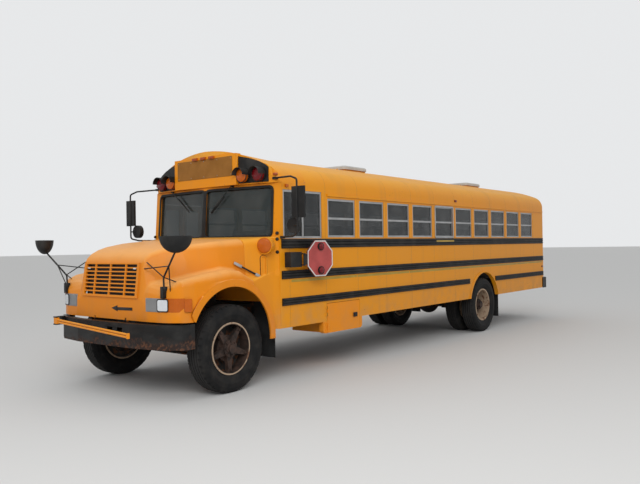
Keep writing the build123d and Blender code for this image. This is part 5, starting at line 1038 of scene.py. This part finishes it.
# The battery box. A black paddle latch in a shallow dish holds its steel door shut,
# and swings out with the door.
latch_place = skin_point("battery_door", at(-2.276, 2.0, 0.692), (0, -1, 0))
dish = plate(latch_place, *FACING_LEFT, width=0.095, height=0.060, corner=0.010, thick=0.003)
paddle = block(latch_place + Vector((0, 0.007, 0)), *FACING_LEFT, (0.070, 0.010, 0.034), 0.003)
finished(joined([dish, paddle]), "battery_latch", black, "battery_door")


# The rear. The emergency door has yellow tape round its opening and a bar handle on a
# plate, and a blank white plate is bolted to the wall beside it.
REAR_X = -9.610
BOLTS_APART = Vector((0, 0.178, 0))
BOLTS_DROP = Vector((0, 0, -0.121))
HANDLE_Y = 0.430
HANDLE_Z = 1.520
HANDLE_STEM = ((0, 0), (0.024, 0), (0.024, 0.012), (0.018, 0.020), (0, 0.020), (0, 0))
rear_tape = plate(at(REAR_X - 0.0002, 0, 1.620), *FACING_REAR,
                  width=1.030, height=1.290, corner=0.01, thick=TAPE_THICK, band=0.025)
finished(rear_tape, "rear_tape", tape_finish, "body")
blank_plate = plate(at(REAR_X - 0.0003, 0.760, 1.250), *FACING_REAR,
                    width=0.305, height=0.152, corner=0.012, thick=0.002)
finished(blank_plate, "rear_plate", white_paint, "body")
plate_bolt = nut(at(REAR_X - 0.002, 0.671, 1.3105), BACKWARD, 0.012, 0.004)
copied(plate_bolt, [Matrix.Translation(shift)
                    for shift in (BOLTS_APART, BOLTS_DROP, BOLTS_APART + BOLTS_DROP)])
finished(plate_bolt, "rear_plate_bolts", aluminium, "body")
handle_plate = block(at(REAR_X - 0.002, HANDLE_Y, HANDLE_Z), *FACING_REAR, (0.062, 0.006, 0.190), 0.002)
bar_place = at(REAR_X - 0.0435, HANDLE_Y - 0.030, HANDLE_Z)
handle_bar = block(bar_place, *FACING_REAR, (0.110, 0.014, 0.034), 0.005)
handle_stem = spun(at(REAR_X - 0.039, HANDLE_Y, HANDLE_Z), BACKWARD, HANDLE_STEM, 20)
door_handle = joined([handle_plate, handle_bar, handle_stem])
finished(door_handle, "emergency_handle", aluminium, "emergency_door")


# The benches. Vinyl covers stuffed with foam, a cushion and a slanted back to each
# bench, ten rows a side, and a separate cushion and back for the driver.
FIRST_BACK_X = -2.210
BENCH_ROWS = 10
BENCH_W = 0.985
BENCH_MIDDLE = 0.6425
SEAT_LOW = 1.320
SEAT_HIGH = 1.440
BACK_HIGH = 1.930
DRIVER_Y = 0.630


def vinyl_finish():
    """Dark green vinyl, worn lighter in clouds, with a welded seam every 33 cm across."""
    finish = Finish("seat_vinyl")
    cloud = finish.between(finish.noise(7, 3), 0.35, 0.8)
    seam = 1 - finish.between(finish.repeats(finish.y, 0.33), 0.002, 0.006)
    grain = finish.noise(420, 1) * 0.25 + finish.noise(60, 2) * 0.5
    finish.shade(Base_Color=finish.blend(cloud, (0.020, 0.030, 0.027), (0.042, 0.054, 0.048)),
                 Roughness=0.42 + cloud * 0.15)
    finish.bump(grain - seam * 2.0, 0.0012, 0.7)
    return finish


def stuffed(piece, voxel, cap, faces):
    """Lets a cover swell over its foam as cloth under pressure, then thins its mesh."""
    select_only(piece)
    grid = piece.modifiers.new("grid", "REMESH")
    grid.mode = "VOXEL"
    grid.voxel_size = voxel
    bpy.ops.object.modifier_apply(modifier="grid")
    flat = [vertex.co.copy() for vertex in piece.data.vertices]
    stuffing = piece.modifiers.new("stuffing", "CLOTH")
    stuffing.settings.use_pressure = True
    stuffing.settings.uniform_pressure_force = 4
    stuffing.settings.effector_weights.gravity = 0
    for step in range(1, 21):
        bpy.context.scene.frame_set(step)
    bpy.ops.object.modifier_apply(modifier="stuffing")
    bpy.context.scene.frame_set(1)
    for vertex, old in zip(piece.data.vertices, flat):
        swell = vertex.co - old
        if swell.length > cap:
            vertex.co = old + swell * (cap / swell.length)
    thin = piece.modifiers.new("thin", "DECIMATE")
    thin.ratio = min(1.0, faces / (2 * len(piece.data.polygons)))
    bpy.ops.object.modifier_apply(modifier="thin")


cushion_place = at(FIRST_BACK_X + 0.302, BENCH_MIDDLE, (SEAT_LOW + SEAT_HIGH) / 2 + 0.002)
cushion = primitive("cube", size=1, location=cushion_place,
                    scale=(0.366, BENCH_W - 0.03, SEAT_HIGH - SEAT_LOW - 0.012))
round_edges(0.025, 3)
stuffed(cushion, voxel=0.014, cap=0.016, faces=1600)

BACK_X = FIRST_BACK_X + 0.065
back = primitive("cube", size=1, location=at(BACK_X, BENCH_MIDDLE, (SEAT_LOW + BACK_HIGH) / 2),
                 scale=(0.078, BENCH_W - 0.03, BACK_HIGH - SEAT_LOW - 0.02))
pick(back, lambda middle, normal: normal.z > 0.9)
bpy.ops.transform.resize(value=(0.75, 1, 1), center_override=at(BACK_X, BENCH_MIDDLE, BACK_HIGH))
bpy.ops.transform.translate(value=(-0.055, 0, 0))
round_edges(0.022, 3)
stuffed(back, voxel=0.014, cap=0.014, faces=1600)

driver_cushion = primitive("cube", size=1, location=at(-1.270, DRIVER_Y, 1.402), scale=(0.396, 0.436, 0.088))
round_edges(0.022, 3)
stuffed(driver_cushion, voxel=0.012, cap=0.014, faces=1400)

driver_back = primitive("cube", size=1, location=at(-1.5352, DRIVER_Y, 1.715), scale=(0.086, 0.436, 0.706))
round_edges(0.024, 3)
stuffed(driver_back, voxel=0.012, cap=0.012, faces=1600)

for pad in (cushion, back):
    copied(pad, [Matrix.Translation((-SEAM_PITCH * row, 0, 0)) for row in range(1, BENCH_ROWS)])
    copied(pad, [MIRROR])
vinyl = vinyl_finish()
for pad, name in ((cushion, "bench_cushions"), (back, "bench_backs"), (driver_cushion, "driver_cushion"),
                  (driver_back, "driver_back")):
    finished(pad, name, vinyl, "body", 60)
    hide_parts("seats")
